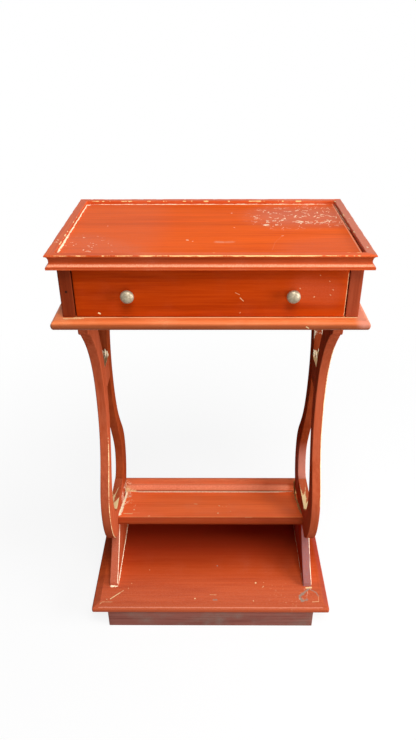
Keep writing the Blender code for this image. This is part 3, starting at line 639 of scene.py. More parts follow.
def make_board(name, low, high, grain, ease=EASE, loop=(14, 8)):
    """A sawn board: an eased rectangle carried along the grain. Towards each end its radius falls to nothing
    by a quarter round, place = end - ease + ease * sin, radius = ease * cos, so all twelve arrises are
    alike."""
    order = list(AXIS_ORDER[grain])
    centre = (low + high) / 2
    half = ((high - low) / 2)[order]
    swing = np.linspace(0, np.pi / 2, 5)
    nose = half[0] - ease + ease * np.sin(swing)
    steps = max(4, int(2 * half[0] / BOARD_STEP))
    middle = np.linspace(ease - half[0], half[0] - ease, steps)[1:-1]
    place = np.concatenate([-nose[::-1], middle, nose])
    radius = np.concatenate([ease * np.cos(swing[::-1]), np.full(len(middle), ease), ease * np.cos(swing)])
    halves = np.tile(half[1:] - ease, (len(place), 1)) + radius[:, None]
    section = size_loop(eased_loop(*loop), halves, radius)
    points = np.empty(section.shape[:2] + (3,))
    points[..., order[0]] = centre[order[0]] + place[:, None]
    points[..., order[1]] = centre[order[1]] + section[..., 0]
    points[..., order[2]] = centre[order[2]] + section[..., 1]
    gaps = [half[axis] - np.abs(points[..., order[axis]] - centre[order[axis]]) for axis in range(3)]
    return put_surface(name, points, edge_nearness(*gaps))


print("boards can run along", sorted(AXIS_ORDER))

# %% [markdown]
# ## Filler in the joints
# Old joints were stopped with cream filler, which sits in the corners as a thin uneven bead. A bead is a
# corner line with two sides: its section starts in the corner, runs out along one face, comes back along a
# hollow curve to the other face, and its size swells and shrinks along the line as a sum of sines with fixed
# random phases.

# %% Filler beads
FILLER_BEND = np.linspace(0, 1, 7)[:, None]
BEAD_STATIONS = 160
BEAD_TAPER = 12
UP, RIGHT, LEFT, FRONT = (0, 0, 1), (1, 0, 0), (-1, 0, 0), (0, -1, 0)


def wavy(place, seed, low, high):
    """A smooth uneven value from low to high along a line: the mean of four sines of growing frequency."""
    draw = np.random.default_rng(seed)
    waves = draw.uniform((90, 260, 520, 1100), (150, 400, 800, 1500))
    phases = draw.uniform(0, 2 * np.pi, 4)
    height = np.sin(np.asarray(place)[:, None] * waves + phases).mean(axis=1)
    return low + (high - low) * np.clip(0.5 + 0.9 * height, 0, 1)


def make_bead(name, start, end, side_a, side_b, sizes, seed, count=BEAD_STATIONS):
    """A bead of filler along a corner. At each station its section is the corner, then side_a * size * (1 -
    t)^2 + side_b * size * t^2 for t from 0 to 1, which is the hollow curve of a finger's wipe."""
    start, end, side_a, side_b = (np.asarray(value, dtype=float) for value in (start, end, side_a, side_b))
    share = np.linspace(0, 1, count)
    path = start + share[:, None] * (end - start)
    place = share * np.linalg.norm(end - start)
    taper = np.clip(np.minimum(share, 1 - share) * BEAD_TAPER, 0.15, 1)
    size_a = (wavy(place, seed, *sizes) * taper)[:, None, None]
    size_b = (wavy(place, seed + 1, *sizes) * taper)[:, None, None]
    curve = side_a * size_a * (1 - FILLER_BEND) ** 2 + side_b * size_b * FILLER_BEND**2
    loop = np.concatenate([np.zeros((count, 1, 3)), curve], axis=1)
    return put_surface(name, path[:, None, :] + loop)


def make_filler(name, pale, dirty):
    """Matt filler, pale with dirty specks."""
    material, tree, surface, spot = new_material(name)
    specks = ramp(tree, noise(tree, spot, 330.0, 4.0, 0.65), 0.42, 0.72)
    feed(tree, surface.inputs["Base Color"], mix_colour(tree, specks, shade(*pale), shade(*dirty)))
    surface.inputs["Roughness"].default_value = 0.7
    surface.inputs["Specular IOR Level"].default_value = 0.1
    return material


cream_filler = make_filler("cream_filler", (0.98, 0.87, 0.63), (0.70, 0.42, 0.22))
brown_filler = make_filler("brown_filler", (0.50, 0.29, 0.10), (0.16, 0.075, 0.03))


def lay_filler(stem, joints, seed, rise=UP, filler=cream_filler, count=BEAD_STATIONS):
    """One bead in each joint, given as its ends, its way out along one face and its sizes. Along the other
    face it climbs by the rise. Each bead draws from two seeds of its own."""
    for place, (start, end, way, sizes) in joints.items():
        piece = make_bead(f"{stem}_{place}", start, end, way, rise, sizes, seed, count)
        dress(piece, filler, "bare_wood")
        seed += 2
    print(f"{stem}:", sorted(joints))


print("fillers:", cream_filler.name, brown_filler.name)

# %% [markdown]
# ## The tray panel
# The panel is one wide board, sunk below its rim. Its left front has a milky bloom, and at the right rear a
# dense patch of short chalky strokes tells where a lamp or a pot was dragged for years. The strokes are the
# nicks group, kept to that patch by a soft placed mark.

# %% Tray panel
ORANGE = ((0.60, 0.062, 0.004), (0.77, 0.098, 0.008), (0.88, 0.150, 0.018))
PINK_HAZE = (0.78, 0.25, 0.15)
panel_low, panel_high = node_box("top_panel")
panel_top = panel_high[2]
panel_side = panel_high[0]
worn_side = panel_side - 0.003
FAINT = shade(0.82, 0.45, 0.30)


def on_panel(x, y):
    """A place on the panel's face."""
    return (x, y, panel_top)


panel_mark = strokes_on(on_panel)
rear_patch = panel_mark((0.122, 0.052), (0.172, 0.060), 0.032, 0.042)
front_patch = panel_mark((-0.188, -0.070), (-0.165, -0.108), 0.008, 0.035)
panel_flecks = [
    panel_mark((-0.035, -0.059), (-0.033, -0.060), 0.0009),
    panel_mark((-0.026, -0.065), width=0.0008),
    panel_mark((0.035, 0.077), (0.036, 0.076), 0.0008, strength=0.8),
    panel_mark((0.037, 0.000), (0.038, -0.001), 0.0007, strength=0.6),
    panel_mark((-0.162, 0.008), width=0.0008, strength=0.7),
    panel_mark((0.108, -0.041), (0.110, -0.040), 0.0007, strength=0.6),
    panel_mark((0.086, 0.012), (0.090, 0.013), 0.0020, 0.001, 0.004),
    panel_mark((0.141, 0.027), (0.147, 0.029), 0.0018, 0.001, 0.004),
    panel_mark((-0.213, 0.124), (-0.211, 0.126), 0.0022, 0.001, 0.003),
]
faint_scratches = [
    panel_mark((0.108, -0.041), (0.095, -0.070), 0.0003, strength=0.13),
    panel_mark((0.095, -0.070), (0.088, -0.103), 0.0003, strength=0.13),
    panel_mark((0.010, -0.068), (0.018, -0.069), 0.0006, 0.006, 0.006, strength=0.38),
    panel_mark((0.024, -0.069), (0.032, -0.068), 0.0006, 0.006, 0.006, strength=0.28),
]
# painted shadow: a dark line in the gap between the panel and the right rim
right_gap_shadow = [panel_mark((panel_side, -0.125), (panel_side, 0.128), 0.0010, 0.0006, strength=0.9)]
worn_line = panel_mark((worn_side, -0.120), (worn_side, 0.128), 0.0004, 0.0008, 0.002, strength=0.55)
panel_finish = make_stain(
    "panel_stain",
    ORANGE,
    "along",
    sheen=0.01,
    haze={"scale": 9.0, "amount": 0.08, "tone": (0.55, 0.20, 0.145)},
    wear=0.4,
    nicks=[
        scatter(78.0, 0.95, 0.48, 0.040, rear_patch, CHALK),
        scatter(130.0, 0.85, 0.44, 0.056, rear_patch, CHALK),
        scatter(150.0, 0.45, 0.30, 0.070, front_patch, CHALK),
    ],
    marks=[
        (CHALK, panel_flecks),
        (FAINT, [*faint_scratches, worn_line]),
        (DARK, right_gap_shadow),
    ],
    blooms_and_highlights=[
        panel_mark((-0.190, -0.070), (-0.140, -0.110), 0.012, 0.075, strength=0.50),
        panel_mark((0.120, 0.058), (0.185, 0.064), 0.012, 0.075, strength=0.72),
        panel_mark((-0.180, -0.110), (-0.180, 0.120), 0.070, 0.070, strength=0.24),
        panel_mark((0.140, -0.100), (0.195, -0.080), 0.010, 0.060, strength=0.25),
    ],
)
panel = make_board("tray_panel", panel_low, panel_high, "x", ease=0.0004, loop=(24, 4))
dress(panel, panel_finish, "orange_stain", "top_panel")
print("panel:", (panel_high - panel_low).round(4))

# %% [markdown]
# ## The rim mouldings
# Four lengths of one moulding are mitred round the panel. From the top it has a square edge, one deep hollow
# and a plain strip. The profile is carried along each side, and every point runs as much further as it stands
# out, which makes the mitres meet.

# %% Rim profile
RIM_WIDTH = 0.013
STRIP_HEIGHT = 0.0040
HOLLOW_HEIGHT = 0.0150
HOLLOW_DEPTH = 0.0045
RIM_EASE = 0.0009
STRIP_EASE = 0.0004


def arc(centre, radius_a, radius_b, start, end, count=12):
    """Points on part of an ellipse between two angles in degrees."""
    angle = np.radians(np.linspace(start, end, count))
    return np.stack([centre[0] + radius_a * np.cos(angle), centre[1] + radius_b * np.sin(angle)], axis=-1)


def straight(first, last, count):
    """Evenly spaced points strictly between two others."""
    share = np.linspace(0, 1, count + 2)[1:-1, None]
    return np.asarray(first) * (1 - share) + np.asarray(last) * share


def rim_profile(height):
    """The section as (out, up): strip, lip, hollow, edge, flat top and inner face, each a line or an arc."""
    hollow_top = STRIP_HEIGHT + HOLLOW_HEIGHT
    hollow_middle = STRIP_HEIGHT + HOLLOW_HEIGHT / 2
    top = height - RIM_EASE
    lip = RIM_WIDTH - STRIP_EASE
    return np.concatenate(
        [
            straight((0, 0), (lip, 0), 3),
            arc((lip, STRIP_EASE), STRIP_EASE, STRIP_EASE, -90, 0, 4),
            straight((RIM_WIDTH, STRIP_EASE), (RIM_WIDTH, STRIP_HEIGHT - STRIP_EASE), 3),
            arc((lip, STRIP_HEIGHT - STRIP_EASE), STRIP_EASE, STRIP_EASE, 0, 90, 4),
            arc((RIM_WIDTH, hollow_middle), HOLLOW_DEPTH, HOLLOW_HEIGHT / 2, 264, 96, 32),
            arc((lip, hollow_top + STRIP_EASE), STRIP_EASE, STRIP_EASE, -90, 0, 4),
            straight((RIM_WIDTH, hollow_top + STRIP_EASE), (RIM_WIDTH, top), 3),
            arc((RIM_WIDTH - RIM_EASE, top), RIM_EASE, RIM_EASE, 0, 90, 8),
            straight((RIM_WIDTH - RIM_EASE, height), (RIM_EASE, height), 12),
            arc((RIM_EASE, top), RIM_EASE, RIM_EASE, 90, 180, 6),
            straight((0, top), (0, 0), 8),
        ]
    )


rim_low, rim_high = node_box("top_rim_front")
rim_top = rim_high[2]
rim_height = rim_top - rim_low[2]
print("rim:", len(rim_profile(rim_height)), "points in its profile")

# %% [markdown]
# Chips bite into the upper edge: each is a shallow parabola, and the deepest one wins. The same rule, on the
# inner edge, gives flecks of bare wood. Two level bands darken the upper hollow and the strip: partly dust
# and partly painted shade, where the hollow faces down and the strip faces forward.

# %% Chips, dust and painted shade
RIM_STATIONS = 420
CHIP_REACH = 0.0020
CHIP_LENGTH, CHIP_LEAST = 0.012, 0.0008
FLECK_LENGTH, FLECK_DEPTH, FLECK_REACH = 0.006, 1.6, 1.3 * CHIP_REACH
BITE_TO_WEAR = 700
WORN_MOST = 1.2
HOLLOW_DUST_AND_SHADE = {"strength": 0.62, "full": 1.5, "middle": 0.0130, "reach": 0.0055}
STRIP_DUST_AND_SHADE = {"strength": 0.50, "full": 1.6, "middle": 0.0030, "reach": 0.0012}


def chips(place, seed, count, length, depth, half):
    """How deep the chips bite along an edge: the largest of many parabolas, depth * (1 - (gap / half)^2)."""
    draw = np.random.default_rng(seed)
    middles = draw.uniform(-half, half, count)
    halves = length * draw.uniform(0.15, 1.0, count) ** 2 + CHIP_LEAST
    depths = depth * draw.uniform(0.25, 1.0, count)
    gaps = (np.asarray(place)[..., None] - middles) / halves
    return np.clip(depths * (1 - gaps**2), 0, None).max(axis=-1)


def dust_and_shade_band(up, strength, full, middle, reach):
    """A level band of dust and painted shade: strength times (full - |up - middle| / reach), cut to the range
    from 0 to 1.
    """
    return strength * np.clip(full - np.abs(up - middle) / reach, 0, 1)


def make_rim(inner_half, seed, wear, count, depth, flecks, centre=0.0):
    """One mitred length along X, with its inner face on Y = 0 and its outside towards -Y: its points, arris,
    worn, and dust with painted shade. The wear is strongest about its centre, and flecks are bare places on
    the inner edge."""
    profile = rim_profile(rim_height)
    share = np.linspace(-1, 1, RIM_STATIONS)[:, None]
    out = np.tile(profile[:, 0], (len(share), 1))
    up = np.tile(profile[:, 1], (len(share), 1))
    along = share * (inner_half + out)
    edge_gap = np.hypot(out - RIM_WIDTH, up - rim_height)
    inner_gap = np.hypot(out, up - rim_height)
    near = np.clip(1 - edge_gap / CHIP_REACH, 0, 1)
    bite = chips(along, seed, count, CHIP_LENGTH, depth, inner_half) * near
    inside = np.clip(1 - inner_gap / FLECK_REACH, 0, 1)
    inside = inside * chips(along, seed + 1, flecks, FLECK_LENGTH, FLECK_DEPTH, inner_half)
    arris = np.clip(1 - np.minimum(edge_gap, inner_gap) / ARRIS_REACH, 0, 1)
    swell = 0.35 + 0.65 * np.exp(-(((along - centre) / (0.6 * inner_half)) ** 2))
    wear_and_highlight = wear * near * swell + BITE_TO_WEAR * bite + inside
    # dust and painted shade: two level bands darken the upper hollow and the strip
    dust = np.maximum(dust_and_shade_band(up, **HOLLOW_DUST_AND_SHADE), dust_and_shade_band(up, **STRIP_DUST_AND_SHADE)) * (out > RIM_WIDTH / 2)
    points = np.stack([along, -(out - bite), up - bite], axis=-1)
    return points, arris, np.clip(wear_and_highlight, 0, WORN_MOST), dust


def turn_points(points, angle):
    """Points turned about the upright axis."""
    spin = np.array([[np.cos(angle), -np.sin(angle)], [np.sin(angle), np.cos(angle)]])
    turned = points.copy()
    turned[..., :2] = points[..., :2] @ spin.T
    return turned


print("bands of dust:", HOLLOW_DUST_AND_SHADE, STRIP_DUST_AND_SHADE)

# %% [markdown]
# The front and back lengths are redder, with a painted highlight along the lip under the hollow. The side
# lengths have faded, the right one to a dull rose along its whole top.

# %% Rim mouldings
RIM_RED = ((0.50, 0.056, 0.009), (0.68, 0.092, 0.016), (0.80, 0.140, 0.034))
RIM_PALE = ((0.50, 0.070, 0.017), (0.66, 0.112, 0.030), (0.76, 0.164, 0.052))
YELLOW_WOOD = (0.90, 0.64, 0.26, 1)
RIM_TURNS = {"front": 0.0, "right": np.pi / 2, "back": np.pi, "left": -np.pi / 2}
RIMS = {
    "front": {"wear": 0.62, "count": 44, "depth": 0.0008, "flecks": 4, "seed": 3, "centre": 0.06},
    "right": {"wear": 0.20, "count": 24, "depth": 0.0004, "flecks": 7, "seed": 5},
    "back": {"wear": 0.35, "count": 36, "depth": 0.0005, "flecks": 30, "seed": 9},
    "left": {"wear": 0.20, "count": 24, "depth": 0.0004, "flecks": 10, "seed": 13},
}
LIP_BACK, LIP_UP = 0.0026, 0.0060
top_half = np.array([rim_high[0], -rim_low[1]])
inner_half = top_half - RIM_WIDTH
rim_middle = (top_half[0] + inner_half[0]) / 2


def on_rim(side, y):
    """A place on top of a side length, the left one for -1 and the right one for 1."""
    return (side * rim_middle, y, rim_top)


rim_mark = strokes_on(on_rim)
left_flecks = rim_mark((-1, -0.115), (-1, -0.085), 0.006, 0.010)
right_flecks = rim_mark((1, -0.130), (1, 0.120), 0.005, 0.004)
right_fade = rim_mark((1, -0.16), (1, 0.16), 0.008, 0.004, strength=0.95)
# painted highlight: a pale line along the lip under the hollow, laid in the haze tone as a bloom
lip_highlight_ends = [(way * top_half[0], LIP_BACK - top_half[1], rim_low[2] + LIP_UP) for way in (-1, 1)]
lip_highlight = stroke(*lip_highlight_ends, 0.0010, 0.0018, 0.0004, strength=0.95)
along_finish = make_stain(
    "rim_stain_along",
    RIM_RED,
    "along",
    sheen=0.06,
    haze={"scale": 14.0, "amount": 0.16, "tone": (1.0, 0.46, 0.27)},
    wear=0.52,
    blooms_and_highlights=[lip_highlight],
    edge=YELLOW_WOOD,
)
side_finish = make_stain(
    "rim_stain_back",
    RIM_PALE,
    "back",
    sheen=0.06,
    haze={"scale": 14.0, "amount": 0.20, "tone": (0.46, 0.17, 0.12)},
    wear=0.45,
    nicks=[
        scatter(150.0, 0.30, 0.30, 0.08, left_flecks, CHALK),
        scatter(120.0, 0.08, 0.25, 0.05, right_flecks, CHALK),
    ],
    blooms_and_highlights=[right_fade],
    edge=CREAM,
)
for side, rim in RIMS.items():
    across = side in ("front", "back")
    half, away = inner_half if across else inner_half[::-1]
    points, arris, wear_and_highlight, dust = make_rim(half, **rim)
    points[..., 1] -= away
    points = turn_points(points, RIM_TURNS[side])
    points[..., 2] += rim_low[2]
    piece = put_surface(f"rim_moulding_{side}", points, arris, wear_and_highlight, dust)
    dress(piece, along_finish if across else side_finish, "red_stain", f"top_rim_{side}")
print("rim lengths:", sorted(RIMS))

# %% [markdown]
# The panel's own joints come next, now that the rim gives their corners. The filler is thickest at the left
# front, where it was smeared, and nearly worn away at the right.

# %% Panel joints
JOINT_FIT = 0.0001
corner_x, corner_y = inner_half - JOINT_FIT
PANEL_JOINTS = {
    "left_front": (on_panel(-corner_x, -corner_y), on_panel(-corner_x, -0.03), RIGHT, (0.0008, 0.0028)),
    "left_rear": (on_panel(-corner_x, -0.05), on_panel(-corner_x, corner_y), RIGHT, (0.0004, 0.0020)),
    "back": (on_panel(-corner_x, corner_y), on_panel(corner_x, corner_y), FRONT, (0.0002, 0.0011)),
    "right": (on_panel(corner_x, -0.02), on_panel(corner_x, corner_y), LEFT, (0.0001, 0.0007)),
}
lay_filler("panel_filler", PANEL_JOINTS, 20)

# %% [markdown]
# ## The case
# Below the tray sits a box for the drawer. Its two ends are dark boards whose front edges flank the drawer,
# and its bottom board stands out all round with a full bullnose. That board is a loop seen from above: the
# loop climbs the edge while it grows and shrinks by the sine and cosine of one half turn, then closes on the
# middle line.

# %% Boards with a shaped edge
CORNER = 0.0030


def edged_board(name, low, high, profile, arris, dirt_and_shade):
    """A board with a shaped edge all round. The profile gives (inset, rise) from the middle of the
    underside, round the edge, to the middle of the top, and the plan is a rounded rectangle smaller by the
    inset."""
    centre = (low + high) / 2
    half = ((high - low) / 2)[:2]
    inset, rise = profile.T
    plan = size_loop(eased_loop(64, 44, 6), half - inset[:, None], np.clip(CORNER - inset, 0, None))
    points = np.empty(plan.shape[:2] + (3,))
    points[..., :2] = centre[:2] + plan
    points[..., 2] = low[2] + rise[:, None]
    return put_surface(name, points, arris[:, None], dirt_and_shade=dirt_and_shade[:, None], caps=False)


def closed_profile(edge, half, rise):
    """An edge profile joined to the middle lines of a board's underside and top."""
    under = straight((half, 0), edge[0], 12)
    over = straight(edge[-1], (half, rise), 24)
    return np.concatenate([[(half, 0)], under, edge, over, [(half, rise)]])


floor_low, floor_high = node_box("case_bottom")
floor_thick = floor_high[2] - floor_low[2]
nose_round = floor_thick / 2
bullnose = arc((nose_round, nose_round), nose_round, nose_round, 270, 90, 21)
floor_profile = closed_profile(bullnose, (floor_high[1] - floor_low[1]) / 2, floor_thick)
print("case floor:", (floor_high - floor_low).round(4), "in", len(floor_profile), "rings")

# %% Case floor
BULLNOSE = ((0.58, 0.110, 0.024), (0.76, 0.176, 0.046), (0.88, 0.260, 0.086))
ROSE = shade(0.62, 0.25, 0.18)
RUB_INSET, RUB_RISE, RUB_REACH = 0.003, 0.0128, 0.006
SHADE_TOP, SHADE_FADE, SHADE_DEEP = 0.0125, 0.003, 0.85
floor_inset, floor_rise = floor_profile.T
floor_edge = np.clip(1 - np.hypot(floor_inset - RUB_INSET, floor_rise - RUB_RISE) / RUB_REACH, 0, 1)
# painted shade: the bullnose's lower half and the underside are darkened
floor_shade = SHADE_DEEP * np.clip((SHADE_TOP - floor_rise) / SHADE_FADE, 0, 1)
case_front = node_box("case_side_left")[0][1]
joint_y = case_front - 0.0004
nose_y = floor_low[1] + 0.001


def on_floor(x, y):
    """A place on the bottom board's upper face."""
    return (x, y, floor_high[2])


floor_mark = strokes_on(on_floor)
bullnose_chips = [
    floor_mark((-0.200, joint_y), (0.215, joint_y), 0.0005, 0.0006),
    stroke((0.139, nose_y, floor_low[2] + 0.008), (0.1425, nose_y, floor_low[2] + 0.006), 0.0010),
    floor_mark((-0.214, joint_y - 0.004), (-0.186, joint_y - 0.003), 0.0006, 0.001, 0.004),
]
faded_end = floor_mark((0.224, floor_low[1]), (0.224, 0.060), 0.004, 0.012, 0.003, strength=0.7)
bullnose_finish = make_stain(
    "case_floor_stain",
    BULLNOSE,
    "along",
    sheen=0.1,
    haze={"scale": 16.0, "amount": 0.30, "tone": (0.95, 0.42, 0.20)},
    wear=0.40,
    marks=[(ROSE, [faded_end]), (CREAM, bullnose_chips)],
)
case_floor = edged_board("case_floor_board", floor_low, floor_high, floor_profile, floor_edge, floor_shade)
dress(case_floor, bullnose_finish, "orange_stain", "case_bottom")
print("case floor chips:", len(bullnose_chips))

# %% Case ends and back
BROWN = ((0.120, 0.013, 0.003), (0.197, 0.026, 0.007), (0.280, 0.045, 0.013))
WARM_BROWN = ((0.205, 0.027, 0.008), (0.335, 0.052, 0.018), (0.45, 0.088, 0.036))
knot = stroke((-0.207, case_front, 0.694), width=0.0010, soft=0.0018)
case_finishes = {
    "left": make_stain("case_left_stain", BROWN, "up", wear=0.40, marks=[(DARK, [knot])]),
    "right": make_stain("case_right_stain", WARM_BROWN, "up", wear=0.40),
}
for side, finish in case_finishes.items():
    piece = make_board(f"case_end_{side}", *node_box(f"case_side_{side}"), "z", loop=(8, 24))
    dress(piece, finish, "brown_stain", f"case_side_{side}")
back_finish = make_stain("case_back_stain", BROWN, "along_upright", wear=0.5)
piece = make_board("case_back_board", *node_box("case_back"), "x")
dress(piece, back_finish, "brown_stain", "case_back")
print("case ends:", sorted(case_finishes))

# %% [markdown]
# ## The drawer front
# The drawer front is the reddest board, with long level streaks, two light scratches near its middle and a
# few chips at its right. It rides on the drawer, so it slides with it. Its marks lie at places in metres on
# its face.

# %% Drawer front
face_low, face_high = node_box("drawer_front")
DRAWER_TONES = ((0.33, 0.026, 0.001), (0.45, 0.040, 0.002), (0.55, 0.062, 0.004))


def on_drawer(x, z):
    """A place on the drawer's face, from its middle."""
    return (x, face_low[1], (face_low[2] + face_high[2]) / 2 + z)


drawer_mark = strokes_on(on_drawer)
drawer_edge = face_high[0] - 0.0006
drawer_marks = [
    drawer_mark((0.036, 0.000), (0.042, -0.003), 0.0003, strength=0.42),
    drawer_mark((0.043, -0.008), (0.048, -0.013), 0.0004, strength=0.65),
    drawer_mark((-0.163, -0.032), (-0.161, -0.033), 0.0010),
    drawer_mark((0.043, -0.032), (0.044, -0.031), 0.0005, strength=0.35),
    drawer_mark((0.128, 0.007), (0.129, 0.006), 0.0005, strength=0.4),
    drawer_mark((0.149, -0.007), (0.150, -0.006), 0.0005, strength=0.55),
    drawer_mark((0.155, 0.027), (0.156, 0.026), 0.0004, strength=0.35),
    drawer_mark((0.169, 0.018), (0.170, 0.017), 0.0004, strength=0.35),
    drawer_mark((0.175, 0.005), (0.176, 0.004), 0.0005, strength=0.45),
    drawer_mark((0.172, -0.003), (0.173, -0.004), 0.0005, strength=0.4),
    drawer_mark((drawer_edge, -0.036), (drawer_edge, 0.030), 0.0002, 0.0004, strength=0.65),
]
drawer_finish = make_stain(
    "drawer_stain",
    DRAWER_TONES,
    "along_upright",
    sheen=0.01,
    wear=0.45,
    haze={"scale": 12.0, "amount": 0.05, "tone": PINK_HAZE},
    marks=[(CREAM, drawer_marks)],
    blooms_and_highlights=[drawer_mark((0.135, 0.005), (0.170, 0.0), 0.004, 0.030, strength=0.16)],
)
piece = make_board("drawer_face", face_low, face_high, "x", ease=0.0013, loop=(8, 20))
dress(piece, drawer_finish, "orange_stain", "drawer_front", body="drawer")
print("drawer face:", (face_high - face_low).round(4))

# %% [markdown]
# ## The knobs
# Each knob was turned on a lathe, so its surface is one outline swung about an axis: a seat, a thin neck and
# a low dome. The pewter is a metal with a cloudy tarnish in its colour and its gloss.

# %% Knobs
KNOB_SEAT, KNOB_NECK, KNOB_HEAD = 0.0055, 0.0040, 0.0100
SEAT_HEIGHT, NECK_TOP, KNOB_RIM, DOME = 0.0020, 0.0065, 0.0105, 0.0065
SEAT_UNDER, SEAT_OVER, NECK_INSET, NECK_PULL = 0.0006, 0.0008, 0.001, 0.0055
KNOB_STEPS = 48


def bezier(first, handle_a, handle_b, last, count=60):
    """A cubic curve, first k^3 + 3 handle_a k^2 t + 3 handle_b k t^2 + last t^3 with k = 1 - t, at all t."""
    share = np.linspace(0, 1, count)[:, None]
    keep = 1 - share
    first, handle_a, handle_b, last = (np.asarray(point) for point in (first, handle_a, handle_b, last))
    return first * keep**3 + 3 * handle_a * keep**2 * share + 3 * handle_b * keep * share**2 + last * share**3


def knob_outline():
    """Radius and height from the middle of the seat to the top of the dome."""
    neck_foot = (KNOB_SEAT - NECK_INSET, SEAT_HEIGHT)
    waist = bezier(neck_foot, (KNOB_NECK, SEAT_HEIGHT), (KNOB_NECK, NECK_PULL), (KNOB_NECK, NECK_TOP), 12)
    return np.concatenate(
        [
            [(0, 0)],
            arc((KNOB_SEAT - SEAT_UNDER, SEAT_UNDER), SEAT_UNDER, SEAT_UNDER, -90, 0, 5),
            arc((KNOB_SEAT - SEAT_OVER, SEAT_HEIGHT - SEAT_OVER), SEAT_OVER, SEAT_OVER, 0, 80, 6),
            waist[1:],
            arc((KNOB_NECK, KNOB_RIM), KNOB_HEAD - KNOB_NECK, KNOB_RIM - NECK_TOP, -85, 0, 10),
            arc((0, KNOB_RIM), KNOB_HEAD, DOME, 6, 90, 18),
        ]
    )


def make_pewter():
    """A dull warm metal: noise makes the cloudy tarnish in its colour and its gloss."""
    material, tree, surface, spot = new_material("pewter")
    cloud = ramp(tree, noise(tree, spot, 260.0, 4.0, 0.65), 0.35, 0.70)
    tone = mix_colour(tree, cloud, shade(0.26, 0.21, 0.14), shade(0.44, 0.37, 0.26))
    feed(tree, surface.inputs["Base Color"], tone)
    surface.inputs["Metallic"].default_value = 0.6
    feed(tree, surface.inputs["Roughness"], calc(tree, "MULTIPLY_ADD", cloud, -0.12, 0.52))
    return material


pewter = make_pewter()
outline = knob_outline()
spin = np.linspace(0, 2 * np.pi, KNOB_STEPS + 1)[:-1]
for side in ("left", "right"):
    knob_low, knob_high = node_box(f"knob_{side}")
    middle = (knob_low + knob_high) / 2
    points = np.stack(
        [
            middle[0] + outline[:, :1] * np.cos(spin),
            face_low[1] - np.repeat(outline[:, 1:], len(spin), axis=1),
            middle[2] + outline[:, :1] * np.sin(spin),
        ],
        axis=-1,
    )
    piece = put_surface(f"turned_knob_{side}", points, caps=False)
    dress(piece, pewter, "knob_metal", f"knob_{side}", body="drawer")
    print("knob:", side, (knob_high - knob_low).round(4))

# %% [markdown]
# ## The lyres
# Each end of the table is a lyre: two S-curved arms that lean together at a waist and swell to a belly, with
# a block between them at the waist and another at the foot. An arm has an outer and an inner outline, both
# made of cubic curves. Walking along both by equal shares of their lengths gives the two sides of each
# section.

# %% Lyre outlines
LYRE_HEIGHT = 0.4887
BOTTOM_HALF, BELLY_HALF, BELLY_RISE = 0.072, 0.113, 0.091
WAIST_HALF, WAIST_DROP, WAIST_TALL, WAIST_FLARE = 0.046, 0.1315, 0.042, 0.004
WAIST_INNER, SEAT_INNER, SEAT_TALL, BELLY_WIDTH = 0.018, 0.045, 0.048, 0.041
EAR_REACH, EAR_LONG, EAR_TALL, EAR_ROUND = 0.1185, 0.054, 0.0205, 0.007
EAR_COVE, EAR_DROP = 0.020, 0.013
LYRE_EASE = 0.0013


def outer_outline():
    """The outside of an arm, from its foot up to the ear, as (reach, rise)."""
    foot, belly = np.array([BOTTOM_HALF, 0]), np.array([BELLY_HALF, BELLY_RISE])
    waist = np.array([WAIST_HALF, LYRE_HEIGHT - WAIST_DROP - WAIST_TALL])
    ear_foot = LYRE_HEIGHT - EAR_TALL
    flare = np.array([EAR_REACH - EAR_COVE, ear_foot - EAR_DROP])
    bead = np.array([EAR_REACH - EAR_ROUND, ear_foot])
    rise, climb, spread = waist[1] - BELLY_RISE, flare[1] - waist[1], flare[0] - waist[0]
    seat_handle = (foot[0] + (belly[0] - foot[0]) * 0.55, BELLY_RISE * 0.15)
    return np.concatenate(
        [
            bezier(foot, seat_handle, (belly[0], BELLY_RISE * 0.5), belly),
            bezier(belly, belly + (0, rise * 0.33), waist - (0, rise * 0.67), waist)[1:],
            bezier(waist, waist + (0, climb * 0.5), flare - (spread * 0.45, climb * 0.18), flare)[1:],
            bezier(flare, (flare[0] + EAR_COVE * 0.3, ear_foot - EAR_DROP * 0.3), bead, bead)[1:],
            arc((bead[0], ear_foot + EAR_ROUND), EAR_ROUND, EAR_ROUND, -90, 0)[1:],
            [(EAR_REACH, LYRE_HEIGHT)],
        ]
    )


def inner_outline():
    """The inside of an arm, from its foot up to the ear, as (reach, rise)."""
    waist_top = LYRE_HEIGHT - WAIST_DROP
    ear = np.array([EAR_REACH - EAR_LONG, LYRE_HEIGHT])
    upper = np.array([WAIST_INNER + WAIST_FLARE, waist_top])
    lower = np.array([WAIST_INNER, waist_top - WAIST_TALL])
    hollow = np.array([BELLY_HALF - BELLY_WIDTH, BELLY_RISE + BELLY_WIDTH * 0.25])
    seat = np.array([SEAT_INNER, SEAT_TALL])
    lean_in, fall, dip = ear[0] - upper[0], lower[1] - hollow[1], hollow[1] - seat[1]
    down = [
        bezier(ear, ear - (lean_in * 0.33, WAIST_DROP * 0.28), upper + (0, WAIST_DROP * 0.3), upper),
        bezier(lower, lower - (0, fall * 0.5), hollow + (0, fall * 0.2), hollow),
        bezier(hollow, hollow - (0, dip * 0.5), (hollow[0] - dip * 0.25, seat[1]), seat)[1:],
        [(SEAT_INNER, 0)],
    ]
    return np.concatenate(down)[::-1]


def even_walk(outline, shares):
    """Points of an outline at given shares of its length."""
    steps = np.hypot(*np.diff(outline, axis=0).T)
    length = np.concatenate([[0], np.cumsum(steps)])
    return np.stack([np.interp(shares * length[-1], length, outline[:, axis]) for axis in (0, 1)], axis=-1)


ARM_SHARES = np.concatenate([np.linspace(0, 0.87, 130), np.linspace(0.87, 1, 70)[1:]])
outer_walk = even_walk(outer_outline(), ARM_SHARES)
inner_walk = even_walk(inner_outline(), ARM_SHARES)
print("arm:", len(ARM_SHARES), "sections, belly reach", outer_walk[:, 0].max().round(4))
